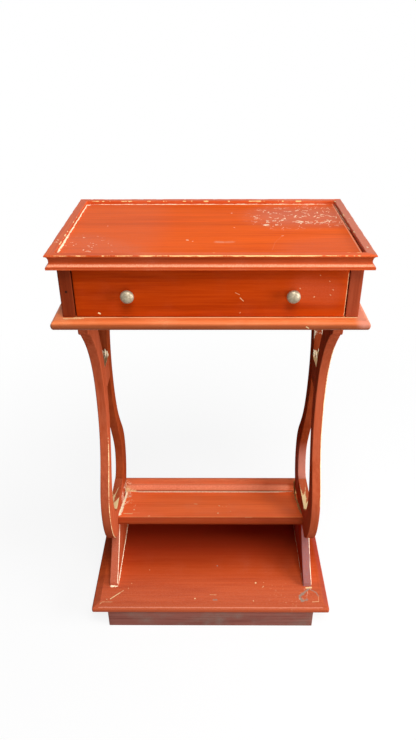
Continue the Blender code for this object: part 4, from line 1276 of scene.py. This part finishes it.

# %% [markdown]
# The arms are slabs between those two walks, and the blocks are slabs between an outline and its mirror
# image. The wear attribute bares the tops of the blocks and a line down each front arm, which is part wear
# and part painted highlight; it also paints a pale highlight in a strip inside the right rear arm.

# %% Slabs and blocks
RED = ((0.41, 0.064, 0.021), (0.53, 0.098, 0.036), (0.62, 0.140, 0.058))
# painted shade: the rear arms get a darker copy of the lyre tones
SHADED_REAR_RED = ((0.28, 0.037, 0.008), (0.37, 0.056, 0.014), (0.44, 0.082, 0.024))
lyre_low, lyre_high = node_box("lyre_rear_arm_left")
lyre_thick = lyre_high[0] - lyre_low[0]
lyre_bottom = lyre_low[2]
FIT = 0.0003
LINE_REACH = 0.0028
INNER_REACH, OUTER_REACH = 0.001, 0.002
TOP_STEP, TOP_WORN = 0.0004, 1.1
MIRROR = np.array([-1, 1])


def make_slab(
    name, inner, outer, middle_x, side, bottom, ease=LYRE_EASE, loop=(14, 8), wear_and_highlight=None, line=None, dust=None
):
    """An upright slab between two outlines: each section reaches from the inner to the outer point and is as
    thick as the lyre. `side` is 1 for the rear and -1 for the front. Its wear argument bares the inner face,
    which on the right rear arm paints a highlight, `dust` darkens the outer one, and `line` bares the arris
    on the +X side of the outer outline (1) or of the inner one (-1), part wear and part painted highlight on
    the front arms."""
    span = outer - inner
    width = np.hypot(*span.T)
    way = span / width[:, None]
    halves = np.stack([width / 2, np.full(len(width), lyre_thick / 2)], axis=-1)
    section = size_loop(eased_loop(*loop), halves, np.full(len(width), ease))
    centre = (inner + outer) / 2
    reach = centre[:, None, 0] + section[..., 0] * way[:, None, 0]
    rise = centre[:, None, 1] + section[..., 0] * way[:, None, 1]
    points = np.stack([middle_x + section[..., 1], side * reach, bottom + rise], axis=-1)
    gaps = [halves[:, None, axis] - np.abs(section[..., axis]) for axis in (0, 1)]
    bare = np.zeros(section.shape[:2])
    if wear_and_highlight is not None:
        bare += wear_and_highlight[:, None] * (section[..., 0] <= INNER_REACH - halves[:, None, 0])
    if line is not None:
        end, strength = line
        corner = np.hypot(halves[:, None, 0] - end * section[..., 0], halves[:, None, 1] - section[..., 1])
        bare += strength[:, None] * np.clip(1 - corner / LINE_REACH, 0, 1)
    dirt_and_shade = None if dust is None else dust[:, None] * (section[..., 0] >= halves[:, None, 0] - OUTER_REACH)
    return put_surface(name, points, edge_nearness(*gaps), bare, dirt_and_shade)


def make_block(name, half_low, half_high, low, high, middle_x, bare_to=1.0):
    """A block between the arms, whose top is worn bare as far back as bare_to. Its last two stations lie
    close, so the wear ends there."""
    rise = np.concatenate([np.linspace(low, high - TOP_STEP, 8), [high]])
    half = half_low + (half_high - half_low) * (rise - low) / (high - low)
    outline = np.stack([half, rise], axis=-1)
    piece = make_slab(name, outline * MIRROR, outline, middle_x, 1, lyre_bottom, ease=0.0006)
    places = np.empty(3 * len(piece.data.vertices), dtype=np.float32)
    piece.data.vertices.foreach_get("co", places)
    _, back, height = places.reshape(-1, 3).T
    top = np.where((height > lyre_bottom + high - TOP_STEP / 2) & (back < bare_to), TOP_WORN, 0.0)
    piece.data.attributes["wear_and_highlight"].data.foreach_set("value", top.astype(np.float32))
    return piece


print("lyre thickness:", lyre_thick.round(4))

# %% [markdown]
# The rear arms have a darker copy of the lyre's tones: painted shade, for the shade they stand in. Low on the
# right one a pale salmon patch is a painted sheen. Grit lies in the corner of the left lyre by the trough,
# and a thick bead of filler lies on each waist block.

# %% Lyres
SALMON = shade(0.74, 0.34, 0.27)
gloss_x = -lyre_low[0] - lyre_thick / 2
sandy = stroke((lyre_high[0], 0.020, 0.164), (lyre_high[0], 0.072, 0.150), 0.008, 0.010)
lyre_sand = sand(sandy, 0.95, 0.20)
# painted sheen: a pale salmon patch low on the right rear arm
painted_sheen = stroke((gloss_x, 0.050, 0.196), (gloss_x, 0.060, 0.222), 0.003, 0.060, strength=0.42)
waist_top = LYRE_HEIGHT - WAIST_DROP
waist_foot = waist_top - WAIST_TALL
lyre_finish = make_stain(
    "lyre_stain",
    RED,
    "up",
    sheen=0.0,
    haze={"scale": 15.0, "amount": 0.14, "tone": (0.66, 0.24, 0.15)},
    wear=0.52,
    nicks=lyre_sand,
    edge=CREAM,
)
shaded_rear_finish = make_stain(
    "lyre_rear_shaded_stain",
    SHADED_REAR_RED,
    "up",
    sheen=0.0,
    haze={"scale": 15.0, "amount": 0.10, "tone": (0.46, 0.17, 0.10)},
    wear=0.52,
    nicks=lyre_sand,
    marks=[(SALMON, [painted_sheen])],
    edge=CHALK,
)
# painted highlight: a pale strip high inside the right rear arm
highlight_strip = 0.70 * np.clip(1 - np.abs(ARM_SHARES - 0.85) / 0.08, 0, 0.5) * 2
# bare lines down the +X arris of the front arms: part wear and part painted highlight
low_line = 0.60 * np.clip((0.50 - ARM_SHARES) * 20, 0, 1)
high_line = 0.75 * np.clip((0.34 - np.abs(ARM_SHARES - 0.55)) * 20, 0, 1)
ARM_WEAR_HIGHLIGHT_LINES = {"left": low_line, "right": high_line}
belly_dust = 0.30 * np.clip((0.62 - ARM_SHARES) * 5, 0, 1)
for side in ("left", "right"):
    box_low, box_high = node_box(f"lyre_rear_arm_{side}")
    middle_x = (box_low[0] + box_high[0]) / 2
    for end, way in (("rear", 1), ("front", -1)):
        strip = highlight_strip if (side, end) == ("right", "rear") else None
        line = (1, ARM_WEAR_HIGHLIGHT_LINES[side]) if end == "front" else None
        walks = (inner_walk, outer_walk)
        wear = {"wear_and_highlight": strip, "line": line, "dust": belly_dust if end == "front" else None}
        piece = make_slab(f"{end}_arm_{side}", *walks, middle_x, way, lyre_bottom, **wear)
        dress(piece, shaded_rear_finish if end == "rear" else lyre_finish, "red_stain", f"lyre_{end}_arm_{side}")
    waist_size = (WAIST_INNER - FIT, WAIST_INNER + WAIST_FLARE - FIT, waist_foot, waist_top)
    piece = make_block(f"waist_block_{side}", *waist_size, middle_x)
    dress(piece, lyre_finish, "red_stain", f"lyre_waist_block_{side}")
    seat_size = (SEAT_INNER - FIT, SEAT_INNER - FIT, 0, SEAT_TALL)
    piece = make_block(f"seat_block_{side}", *seat_size, middle_x, bare_to=-0.012)
    dress(piece, lyre_finish, "red_stain", f"lyre_bottom_block_{side}")
    waist_back = WAIST_INNER + WAIST_FLARE
    waist_line = [(middle_x + way * lyre_thick / 2, waist_back, lyre_bottom + waist_top) for way in (-1, 1)]
    lay_filler("waist_filler", {side: (*waist_line, FRONT, (0.006, 0.014))}, 30, count=40)
    print("lyre:", side, "at x =", round(middle_x, 4))

# %% [markdown]
# ## The feet
# A foot is a slab like an arm, but it widens from a neck under the lyre to two low toes. Its half outline is
# one cubic curve above a short toe, and the other half is its mirror image. Filler lies along the left one.

# %% Feet
FOOT_REACH, FOOT_TALL = 0.1145, 0.0915
TOE_TALL, TOE_SLANT, NECK_HALF = 0.008, 0.0012, 0.032
FOOT_RED = ((0.36, 0.050, 0.012), (0.45, 0.074, 0.022), (0.53, 0.104, 0.036))


def foot_outline():
    """Half of a foot from the base board up to its neck, as (reach, rise)."""
    toe = np.array([FOOT_REACH - TOE_SLANT, TOE_TALL])
    neck = np.array([NECK_HALF, FOOT_TALL])
    run, rise = toe[0] - neck[0], neck[1] - toe[1]
    toe_handle = toe + (-run * 0.3, rise * 0.22)
    neck_handle = neck + (run * 0.12, -rise * 0.35)
    upright = straight((FOOT_REACH, 0), toe, 4)
    return np.concatenate([[(FOOT_REACH, 0)], upright, bezier(toe, toe_handle, neck_handle, neck)])


foot_bottom = node_box("foot_left")[0][2]
foot_side = foot_outline()
foot_line = np.where(foot_side[:, 1] > TOE_TALL / 2, 0.70, 0.0)
FOOT_HAZES = {"left": (0.54, 0.145, 0.085), "right": (0.25, 0.150, 0.165)}
toe = -FOOT_REACH
for side, tone in FOOT_HAZES.items():
    box_low, box_high = node_box(f"foot_{side}")
    middle_x = (box_low[0] + box_high[0]) / 2
    foot_neck = (middle_x, -NECK_HALF, foot_bottom + FOOT_TALL)
    foot_finish = make_stain(
        f"foot_{side}_stain",
        FOOT_RED,
        "up",
        sheen=0.0,
        haze={"scale": 18.0, "amount": 0.60, "tone": tone},
        blooms_and_highlights=[stroke((middle_x, toe, foot_bottom + TOE_TALL), foot_neck, 0.0100, 0.0025)],
        wear=0.50,
        edge=CHALK,
    )
    foot_name = f"sweeping_foot_{side}"
    sweep = (foot_side * MIRROR, foot_side)
    piece = make_slab(foot_name, *sweep, middle_x, 1, foot_bottom, loop=(40, 8), line=(-1, foot_line))
    dress(piece, foot_finish, "red_stain", f"foot_{side}")
    print("foot:", side, (box_high - box_low).round(4))
foot_outer, foot_inner = (corner[0] for corner in node_box("foot_left"))
base_face = node_box("base_board")[1][2]
FOOT_JOINTS = {
    "left_side": ((foot_inner, toe, base_face), (foot_inner, 0.06, base_face), RIGHT, (0.0006, 0.0017)),
    "left_toe": ((foot_outer, toe, base_face), (foot_inner, toe, base_face), FRONT, (0.001, 0.0026)),
    "right_side": ((-foot_inner, toe, base_face), (-foot_inner, 0.06, base_face), LEFT, (0.0001, 0.0005)),
}
lay_filler("foot_filler", FOOT_JOINTS, 40)

# %% [markdown]
# ## The book trough
# A shelf and a rail, square to each other, lean back between the lyres. Both are sections drawn in the
# trough's own tilted plane and carried along X. The shelf has a round nose; the rail has a tall rounded crown
# above a fine groove. Filler lies in the joint between them and, smeared, at the left end; the right end has
# brown glue.

# %% Trough sections
TROUGH_PLACE = np.array([-0.0477, 0.1755])
TROUGH_TILT = np.radians(20)
SHELF_DEEP, SHELF_THICK = 0.137, 0.016
RAIL_NEAR, RAIL_THICK, RAIL_TOP, CROWN_TALL = 0.1373, 0.014, 0.0285, 0.0115
QUIRK, SMALL_ROUND = 0.0004, 0.0006
TROUGH_STATIONS = 70


def in_trough(points):
    """Points of the tilted plane (down the slope, square to it) as world Y and Z."""
    slope, rise = np.moveaxis(np.asarray(points), -1, 0)
    y = TROUGH_PLACE[0] + slope * np.cos(TROUGH_TILT) + rise * np.sin(TROUGH_TILT)
    z = TROUGH_PLACE[1] - slope * np.sin(TROUGH_TILT) + rise * np.cos(TROUGH_TILT)
    return np.stack([y, z], axis=-1)


def carry_section(name, section, half_length, arris, dirt_and_shade):
    """A tilted section carried along X from end to end."""
    along = np.linspace(-half_length, half_length, TROUGH_STATIONS)
    points = np.empty((len(along), len(section), 3))
    points[..., 0] = along[:, None]
    points[..., 1:] = in_trough(section)
    return put_surface(name, points, arris[None, :], dirt_and_shade=dirt_and_shade[None, :])


def near_point(section, slope, rise, reach):
    """1 at a point of a section and 0 beyond its reach."""
    return np.clip(1 - np.hypot(section[:, 0] - slope, section[:, 1] - rise) / reach, 0, 1)


nose = SHELF_THICK / 2
shelf_section = np.concatenate(
    [
        arc((nose, -nose), nose, nose, 270, 90, 19),
        straight((nose, 0), (SHELF_DEEP - 0.0008, 0), 24),
        arc((SHELF_DEEP - SMALL_ROUND, -SMALL_ROUND), SMALL_ROUND, SMALL_ROUND, 90, 0, 4),
        arc((SHELF_DEEP - SMALL_ROUND, SMALL_ROUND - SHELF_THICK), SMALL_ROUND, SMALL_ROUND, 0, -90, 4),
        straight((SHELF_DEEP - 0.0008, -SHELF_THICK), (nose, -SHELF_THICK), 12),
    ]
)
crown = RAIL_THICK / 2
rail_far = RAIL_NEAR + RAIL_THICK
crown_foot = RAIL_TOP - CROWN_TALL
rail_section = np.concatenate(
    [
        straight((RAIL_NEAR, -SHELF_THICK), (RAIL_NEAR, crown_foot - 0.001), 24),
        arc((RAIL_NEAR, crown_foot - 0.0005), QUIRK, 0.0005, -90, 90, 5),
        arc((RAIL_NEAR + crown, crown_foot), crown, CROWN_TALL, 179, 90, 16),
        arc((RAIL_NEAR + crown, RAIL_TOP - crown), crown, crown, 84, 1, 12),
        straight((rail_far, RAIL_TOP - crown), (rail_far, -SHELF_THICK), 10),
        arc((rail_far - SMALL_ROUND, SMALL_ROUND - SHELF_THICK), SMALL_ROUND, SMALL_ROUND, 0, -90, 4),
    ]
)
shelf_edge = near_point(shelf_section, 0.003, -0.0015, 0.005)
rail_edge = near_point(rail_section, RAIL_NEAR + 0.003, RAIL_TOP - 0.001, 0.004)
# painted shade: a dark line in the groove under the crown and in the gap at the rail's foot
rail_shade = np.maximum(
    0.35 * near_point(rail_section, RAIL_NEAR, crown_foot - 0.0005, 0.0012),
    near_point(rail_section, RAIL_NEAR, 0.0012, 0.0024),
)
# painted shade: the shelf's nose, which faces forward and down, is darkened
shelf_nose_shade = 0.98 * np.clip((0.0062 - shelf_section[:, 0]) / 0.0022, 0, 1)
shelf_half = node_box("trough_shelf")[1][0]
rail_half = node_box("trough_rail")[1][0]


def on_shelf(x, slope):
    """A place on the shelf's upper face."""
    return (x, *in_trough((slope, 0.0)))


def on_rail(x, rise):
    """A place on the rail's front face."""
    return (x, *in_trough((RAIL_NEAR, rise)))


print("trough sections:", len(shelf_section), "and", len(rail_section), "points")

# %% Trough
SHELF_TONES = ((0.79, 0.106, 0.021), (0.95, 0.156, 0.034), (1.00, 0.222, 0.064))
RAIL_TONES = ((0.56, 0.100, 0.032), (0.71, 0.152, 0.054), (0.81, 0.220, 0.088))
GLUE_BROWN = shade(0.24, 0.13, 0.04)
shelf_mark = strokes_on(on_shelf)
rail_mark = strokes_on(on_rail)
shelf_marks = [
    shelf_mark((-0.156, 0.040), width=0.0018),
    shelf_mark((0.015, 0.024), width=0.0018),
    shelf_mark((-0.033, 0.070), (-0.029, 0.069), 0.0010, 0.002, strength=0.4),
    shelf_mark((0.017, 0.062), (0.019, 0.059), 0.0008, strength=0.8),
    shelf_mark((-0.124, 0.009), (-0.121, 0.010), 0.0008),
    shelf_mark((-0.005, 0.003), (0.011, 0.003), 0.0007, 0.0006, 0.002, strength=0.8),
    shelf_mark((0.069, 0.005), (0.082, 0.005), 0.0004, 0.0005, 0.002, strength=0.4),
    shelf_mark((-0.174, 0.0215), (-0.158, 0.0205), 0.0010, 0.0006, 0.002, strength=0.95),
    shelf_mark((-0.158, 0.0240), (-0.143, 0.0240), 0.0004, 0.0006, 0.002, strength=0.35),
    # a light line along the upper arris of the nose: part wear and part painted highlight
    shelf_mark((-0.180, 0.0056), (0.180, 0.0056), 0.0002, 0.0008, 0.001, strength=0.3),
]
shelf_sand = shelf_mark((-0.181, 0.075), (-0.178, 0.134), 0.003, 0.009)
trough_finish = make_stain(
    "trough_shelf_stain",
    SHELF_TONES,
    "along",
    haze={"scale": 14.0, "amount": 0.20, "tone": PINK_HAZE},
    wear=0.40,
    nicks=[
        scatter(170.0, 0.8, 0.3, 0.08, shelf_mark((-0.166, 0.088), (-0.153, 0.060), 0.002, 0.010)),
        scatter(150.0, 0.6, 0.2, 0.07, shelf_mark((0.022, 0.090), (0.040, 0.034), 0.003, 0.010)),
        *sand(shelf_sand, 0.9, 0.18),
    ],
    marks=[(CREAM, shelf_marks)],
)
rail_marks = [
    rail_mark((-0.185, 0.000), (-0.182, 0.006), 0.0030, 0.003, 0.030, strength=0.95),
    rail_mark((-0.184, 0.002), (-0.166, 0.001), 0.0010, 0.003, 0.014, strength=0.9),
]
glue_marks = [rail_mark((0.1850, 0.0), (0.1845, 0.024), 0.0022, 0.0012, 0.004, strength=0.9)]
rail_sand = rail_mark((-0.184, 0.012), (-0.180, 0.003), 0.006, 0.009)
rail_finish = make_stain(
    "trough_rail_stain",
    RAIL_TONES,
    "along_upright",
    haze={"scale": 14.0, "amount": 0.15, "tone": (1.0, 0.46, 0.27)},
    wear=0.3,
    nicks=sand(rail_sand, 0.95, 0.20),
    # painted highlight: a pale band along the middle of the rail's face, laid in the haze tone as a bloom
    blooms_and_highlights=[rail_mark((-0.175, 0.010), (0.165, 0.010), 0.002, 0.009, strength=0.9)],
    marks=[(CREAM, rail_marks), (GLUE_BROWN, glue_marks)],
)
piece = carry_section("book_shelf", shelf_section, shelf_half, shelf_edge, shelf_nose_shade)
dress(piece, trough_finish, "orange_stain", "trough_shelf")
piece = carry_section("book_rail", rail_section, rail_half, rail_edge, rail_shade)
dress(piece, rail_finish, "red_stain", "trough_rail")
print("trough half lengths:", shelf_half, rail_half)

# %% Trough joints
slope_up = np.array([0, -np.cos(TROUGH_TILT), np.sin(TROUGH_TILT)])
slope_out = np.array([0, np.sin(TROUGH_TILT), np.cos(TROUGH_TILT)])
end_x = foot_inner + 0.0001
lump_size = (0.0015, 0.0050)
LEFT_JOINTS = {
    "left_front": (on_shelf(end_x, 0.010), on_shelf(end_x, 0.060), RIGHT, (0.0030, 0.0055)),
    "left_rear": (on_shelf(end_x, 0.045), on_shelf(end_x, 0.137), RIGHT, (0.0026, 0.0045)),
}
rail_joint = (on_shelf(-0.181, RAIL_NEAR), on_shelf(0.178, RAIL_NEAR), 4 * slope_up, (0.0011, 0.0013))
right_joint = (on_shelf(-end_x, 0.020), on_shelf(-end_x, 0.137), LEFT, (0.0016, 0.0042))
left_lump = (on_rail(-rail_half, -0.006), on_rail(-rail_half, 0.024), LEFT, lump_size)
right_lump = (on_rail(rail_half, -0.006), on_rail(rail_half, 0.024), RIGHT, lump_size)
lay_filler("trough_filler", {"rail": rail_joint}, 60, rise=0.4 * slope_out)
lay_filler("trough_filler", LEFT_JOINTS, 62, rise=slope_out)
lay_filler("trough_filler", {"right": right_joint}, 66, rise=slope_out, filler=brown_filler)
lay_filler("trough_lump", {"left": left_lump}, 80, rise=slope_up, count=60)
lay_filler("trough_lump", {"right": right_lump}, 82, rise=slope_up, filler=brown_filler, count=60)

# %% [markdown]
# ## The base and its plinth
# The base board has a shallow bevel all round above a rounded nose, and it stands on four plain plinth boards
# that have gathered years of dirt. Near the right foot a ring-shaped scuff is left from a pot; near the left
# one there is a long gouge.

# %% Base board
base_low, base_high = node_box("base_board")
base_thick = base_high[2] - base_low[2]
base_right = base_high[0]
BEVEL_WIDE, BEVEL_DROP, NOSE_ROUND, LOWER_ROUND = 0.014, 0.0025, 0.004, 0.003
BEVEL_SHADE, EDGE_SHADE = 0.24, 0.30
BASE_TONES = ((0.405, 0.042, 0.007), (0.55, 0.071, 0.012), (0.66, 0.112, 0.026))
base_edge = np.concatenate(
    [
        arc((LOWER_ROUND, LOWER_ROUND), LOWER_ROUND, LOWER_ROUND, 270, 180, 6),
        arc((NOSE_ROUND, base_thick - BEVEL_DROP - NOSE_ROUND), NOSE_ROUND, NOSE_ROUND, 180, 95, 8),
        straight((NOSE_ROUND, base_thick - BEVEL_DROP), (BEVEL_WIDE, base_thick), 6),
        [(BEVEL_WIDE, base_thick)],
        straight((BEVEL_WIDE, base_thick), (BEVEL_WIDE + 0.002, base_thick), 1),
    ]
)
base_profile = closed_profile(base_edge, (base_high[1] - base_low[1]) / 2, base_thick)
# the pink worn line along the nose is part wear and part painted highlight
nose_gap = np.hypot(base_profile[:, 0] - 0.0015, base_profile[:, 1] - base_thick + BEVEL_DROP + 0.001)
nose_wear_and_highlight = np.clip(1 - nose_gap / 0.005, 0, 1)
on_bevel = (base_profile[:, 0] < BEVEL_WIDE + 0.0005) & (base_profile[:, 1] > base_thick / 2)
# painted shade: the bevel and the front edge are darkened
base_shade = np.where(on_bevel, BEVEL_SHADE, np.where(base_profile[:, 0] < BEVEL_WIDE, EDGE_SHADE, 0.0))


def on_base(x, y):
    """A place on the base board's upper face."""
    return (x, y, base_high[2])


base_mark = strokes_on(on_base)
base_marks = [
    base_mark((-0.194, -0.145), (-0.178, -0.131), 0.0008),
    base_mark((-0.178, -0.131), (-0.171, -0.125), 0.0004, 0.0003, 0.002, strength=0.7),
    base_mark((0.090, -0.106), width=0.0016),
    base_mark((0.106, -0.105), width=0.0006, strength=0.6),
    base_mark((0.103, -0.117), (0.105, -0.114), 0.0005, strength=0.6),
    base_mark((-0.030, -0.144), width=0.0013),
    base_mark((-0.124, -0.074), width=0.0008, strength=0.5),
    base_mark((-0.157, -0.108), width=0.0008, strength=0.6),
    base_mark((-0.162, -0.120), width=0.0008, strength=0.5),
    base_mark((-0.201, -0.146), width=0.0008, strength=0.7),
    base_mark((-0.106, -0.154), (-0.106, -0.160), 0.0005, strength=0.6),
    base_mark((0.083, -0.149), width=0.0010, strength=0.8),
    base_mark((0.119, -0.158), width=0.0008, strength=0.7),
    base_mark((0.089, -0.164), width=0.0010),
    base_mark((-0.001, -0.135), (0.011, -0.135), 0.0004, 0.0004, 0.002, strength=0.5),
    base_mark((0.197, -0.151), (0.209, -0.150), 0.0006, strength=0.6),
    base_mark((0.209, -0.150), (0.210, -0.138), 0.0004, strength=0.35),
    base_mark((-0.217, -0.162), (-0.211, -0.154), 0.0008, 0.0004, 0.003, strength=0.75),
    base_mark((-0.210, -0.152), (-0.190, -0.152), 0.0004, 0.0004, 0.003, strength=0.3),
    base_mark((0.189, -0.118), (0.199, -0.117), 0.0014, 0.0006, 0.003),
]
scuff_marks = [
    base_mark((0.174, -0.138), (0.181, -0.132), 0.0016, 0.0014, 0.009, strength=0.85),
    base_mark((0.181, -0.132), (0.193, -0.121), 0.0012, 0.0014, 0.009, strength=0.8),
    base_mark((0.174, -0.140), (0.177, -0.149), 0.0018, 0.0014, 0.009, strength=0.85),
    base_mark((0.177, -0.149), (0.187, -0.146), 0.0014, 0.0014, 0.009, strength=0.7),
    base_mark((0.197, -0.122), (0.207, -0.129), 0.0006, 0.001, 0.003, strength=0.7),
    base_mark((0.207, -0.129), (0.210, -0.137), 0.0006, 0.001, 0.003, strength=0.6),
    base_mark((0.014, -0.063), width=0.0012, strength=0.8),
    base_mark((0.006, -0.147), (0.012, -0.147), 0.0012, 0.001, 0.003, strength=0.6),
]
right_specks = base_mark((0.130, -0.130), (0.165, -0.145), 0.012, 0.025)
scuff_specks = base_mark((0.176, -0.144), (0.194, -0.120), 0.0045, 0.004)
nose_line = (base_low[1] + 0.0030, base_high[2] - BEVEL_DROP)
# painted highlight: a pale line along the top of the nose at the front
nose_highlight = stroke((-0.215, *nose_line), (0.215, *nose_line), 0.0003, 0.0010, 0.002, strength=0.42)
# painted reflection: the purple tint of the sky seen in the right edge's bevel
sky_reflection_tone = shade(0.34, 0.060, 0.055)
# painted shadow: the base is darkened under the book trough
under_shelf_shadow = base_mark((-0.150, 0.030), (0.150, 0.030), 0.034, 0.105, 0.0, strength=0.95)
right_edge_reflection = base_mark((base_right, -0.150), (base_right, 0.120), 0.006, 0.006, 0.004, strength=0.42)
base_finish = make_stain(
    "base_stain",
    BASE_TONES,
    "along",
    sheen=0.01,
    haze={"scale": 12.0, "amount": 0.25, "tone": (0.64, 0.21, 0.125)},
    wear=0.55,
    nicks=[
        scatter(210.0, 0.5, 0.10, 0.09, right_specks, strength=0.6),
        scatter(300.0, 0.55, 0.35, 0.10, scuff_specks, CHALK, strength=0.75),
    ],
    marks=[
        (shade(0.25, 0.025, 0.006), [under_shelf_shadow]),
        (sky_reflection_tone, [right_edge_reflection]),
        (shade(0.90, 0.42, 0.29), [nose_highlight]),
        (CREAM, base_marks),
        (shade(0.30, 0.26, 0.20), scuff_marks),
    ],
    blooms_and_highlights=[base_mark((-0.200, -0.160), (0.200, -0.160), 0.005, 0.110, strength=0.50)],
    # pink edge tone: bare wood, and along the nose a painted highlight
    edge=shade(0.88, 0.38, 0.24),
)
piece = edged_board("base_top_board", base_low, base_high, base_profile, nose_wear_and_highlight, base_shade)
dress(piece, base_finish, "orange_stain", "base_board")
print("base:", (base_high - base_low).round(4))

# %% Plinth
PLINTH = ((0.185, 0.057, 0.044), (0.275, 0.090, 0.068), (0.37, 0.138, 0.107))
plinth_finish = make_stain(
    "plinth_stain",
    PLINTH,
    "along_upright",
    gloss=0.5,
    haze={"scale": 22.0, "amount": 0.6, "tone": (0.24, 0.21, 0.17)},
    wear=0.3,
)
for side in ("front", "back", "left", "right"):
    grain = "x" if side in ("front", "back") else "y"
    piece = make_board(f"plinth_board_{side}", *node_box(f"plinth_{side}"), grain)
    dress(piece, plinth_finish, "brown_stain", f"plinth_{side}")
    print("plinth:", side)

# %% [markdown]
# ## Hidden wood and steel
# The drawer box, its stops, the dowels and the glue blocks were never stained, and the screws are steel. They
# keep their plain shapes from the frame and only get a finish.

# %% Bare wood and steel
BARE = ((0.42, 0.24, 0.11), (0.55, 0.34, 0.17), (0.66, 0.44, 0.25))


def make_steel():
    """Screw steel with a faint brown bloom."""
    material, tree, surface, spot = new_material("screw_steel")
    bloom = ramp(tree, noise(tree, spot, 420.0, 3.0, 0.6), 0.40, 0.75)
    tone = mix_colour(tree, bloom, shade(0.48, 0.46, 0.43), shade(0.28, 0.20, 0.14))
    feed(tree, surface.inputs["Base Color"], tone)
    surface.inputs["Metallic"].default_value = 1.0
    feed(tree, surface.inputs["Roughness"], calc(tree, "MULTIPLY_ADD", bloom, 0.25, 0.38))
    return material


steel = make_steel()
bare_along = make_stain("bare_wood_along", BARE, "along", gloss=0.6, wear=0.0, edge=PALE_WOOD)
bare_back = make_stain("bare_wood_back", BARE, "back", gloss=0.6, wear=0.0, edge=PALE_WOOD)
bare_up = make_stain("bare_wood_up", BARE, "up", gloss=0.6, wear=0.0, edge=PALE_WOOD)
PLAIN_FINISHES = {
    "drawer_side": bare_back,
    "drawer_back": bare_along,
    "drawer_bottom": bare_along,
    "drawer_stop": bare_up,
    "foot_dowel": bare_up,
    "trough_dowel": bare_along,
    "plinth_block": bare_up,
    "knob_screw": steel,
    "case_screw": steel,
    "foot_screw": steel,
}
plain_nodes = [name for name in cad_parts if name.startswith(tuple(PLAIN_FINISHES))]
for name in plain_nodes:
    stem = next(stem for stem in PLAIN_FINISHES if name.startswith(stem))
    mesh = bpy.data.objects[name].data
    mesh.materials.clear()
    mesh.materials.append(PLAIN_FINISHES[stem])
print("plain nodes:", len(plain_nodes))
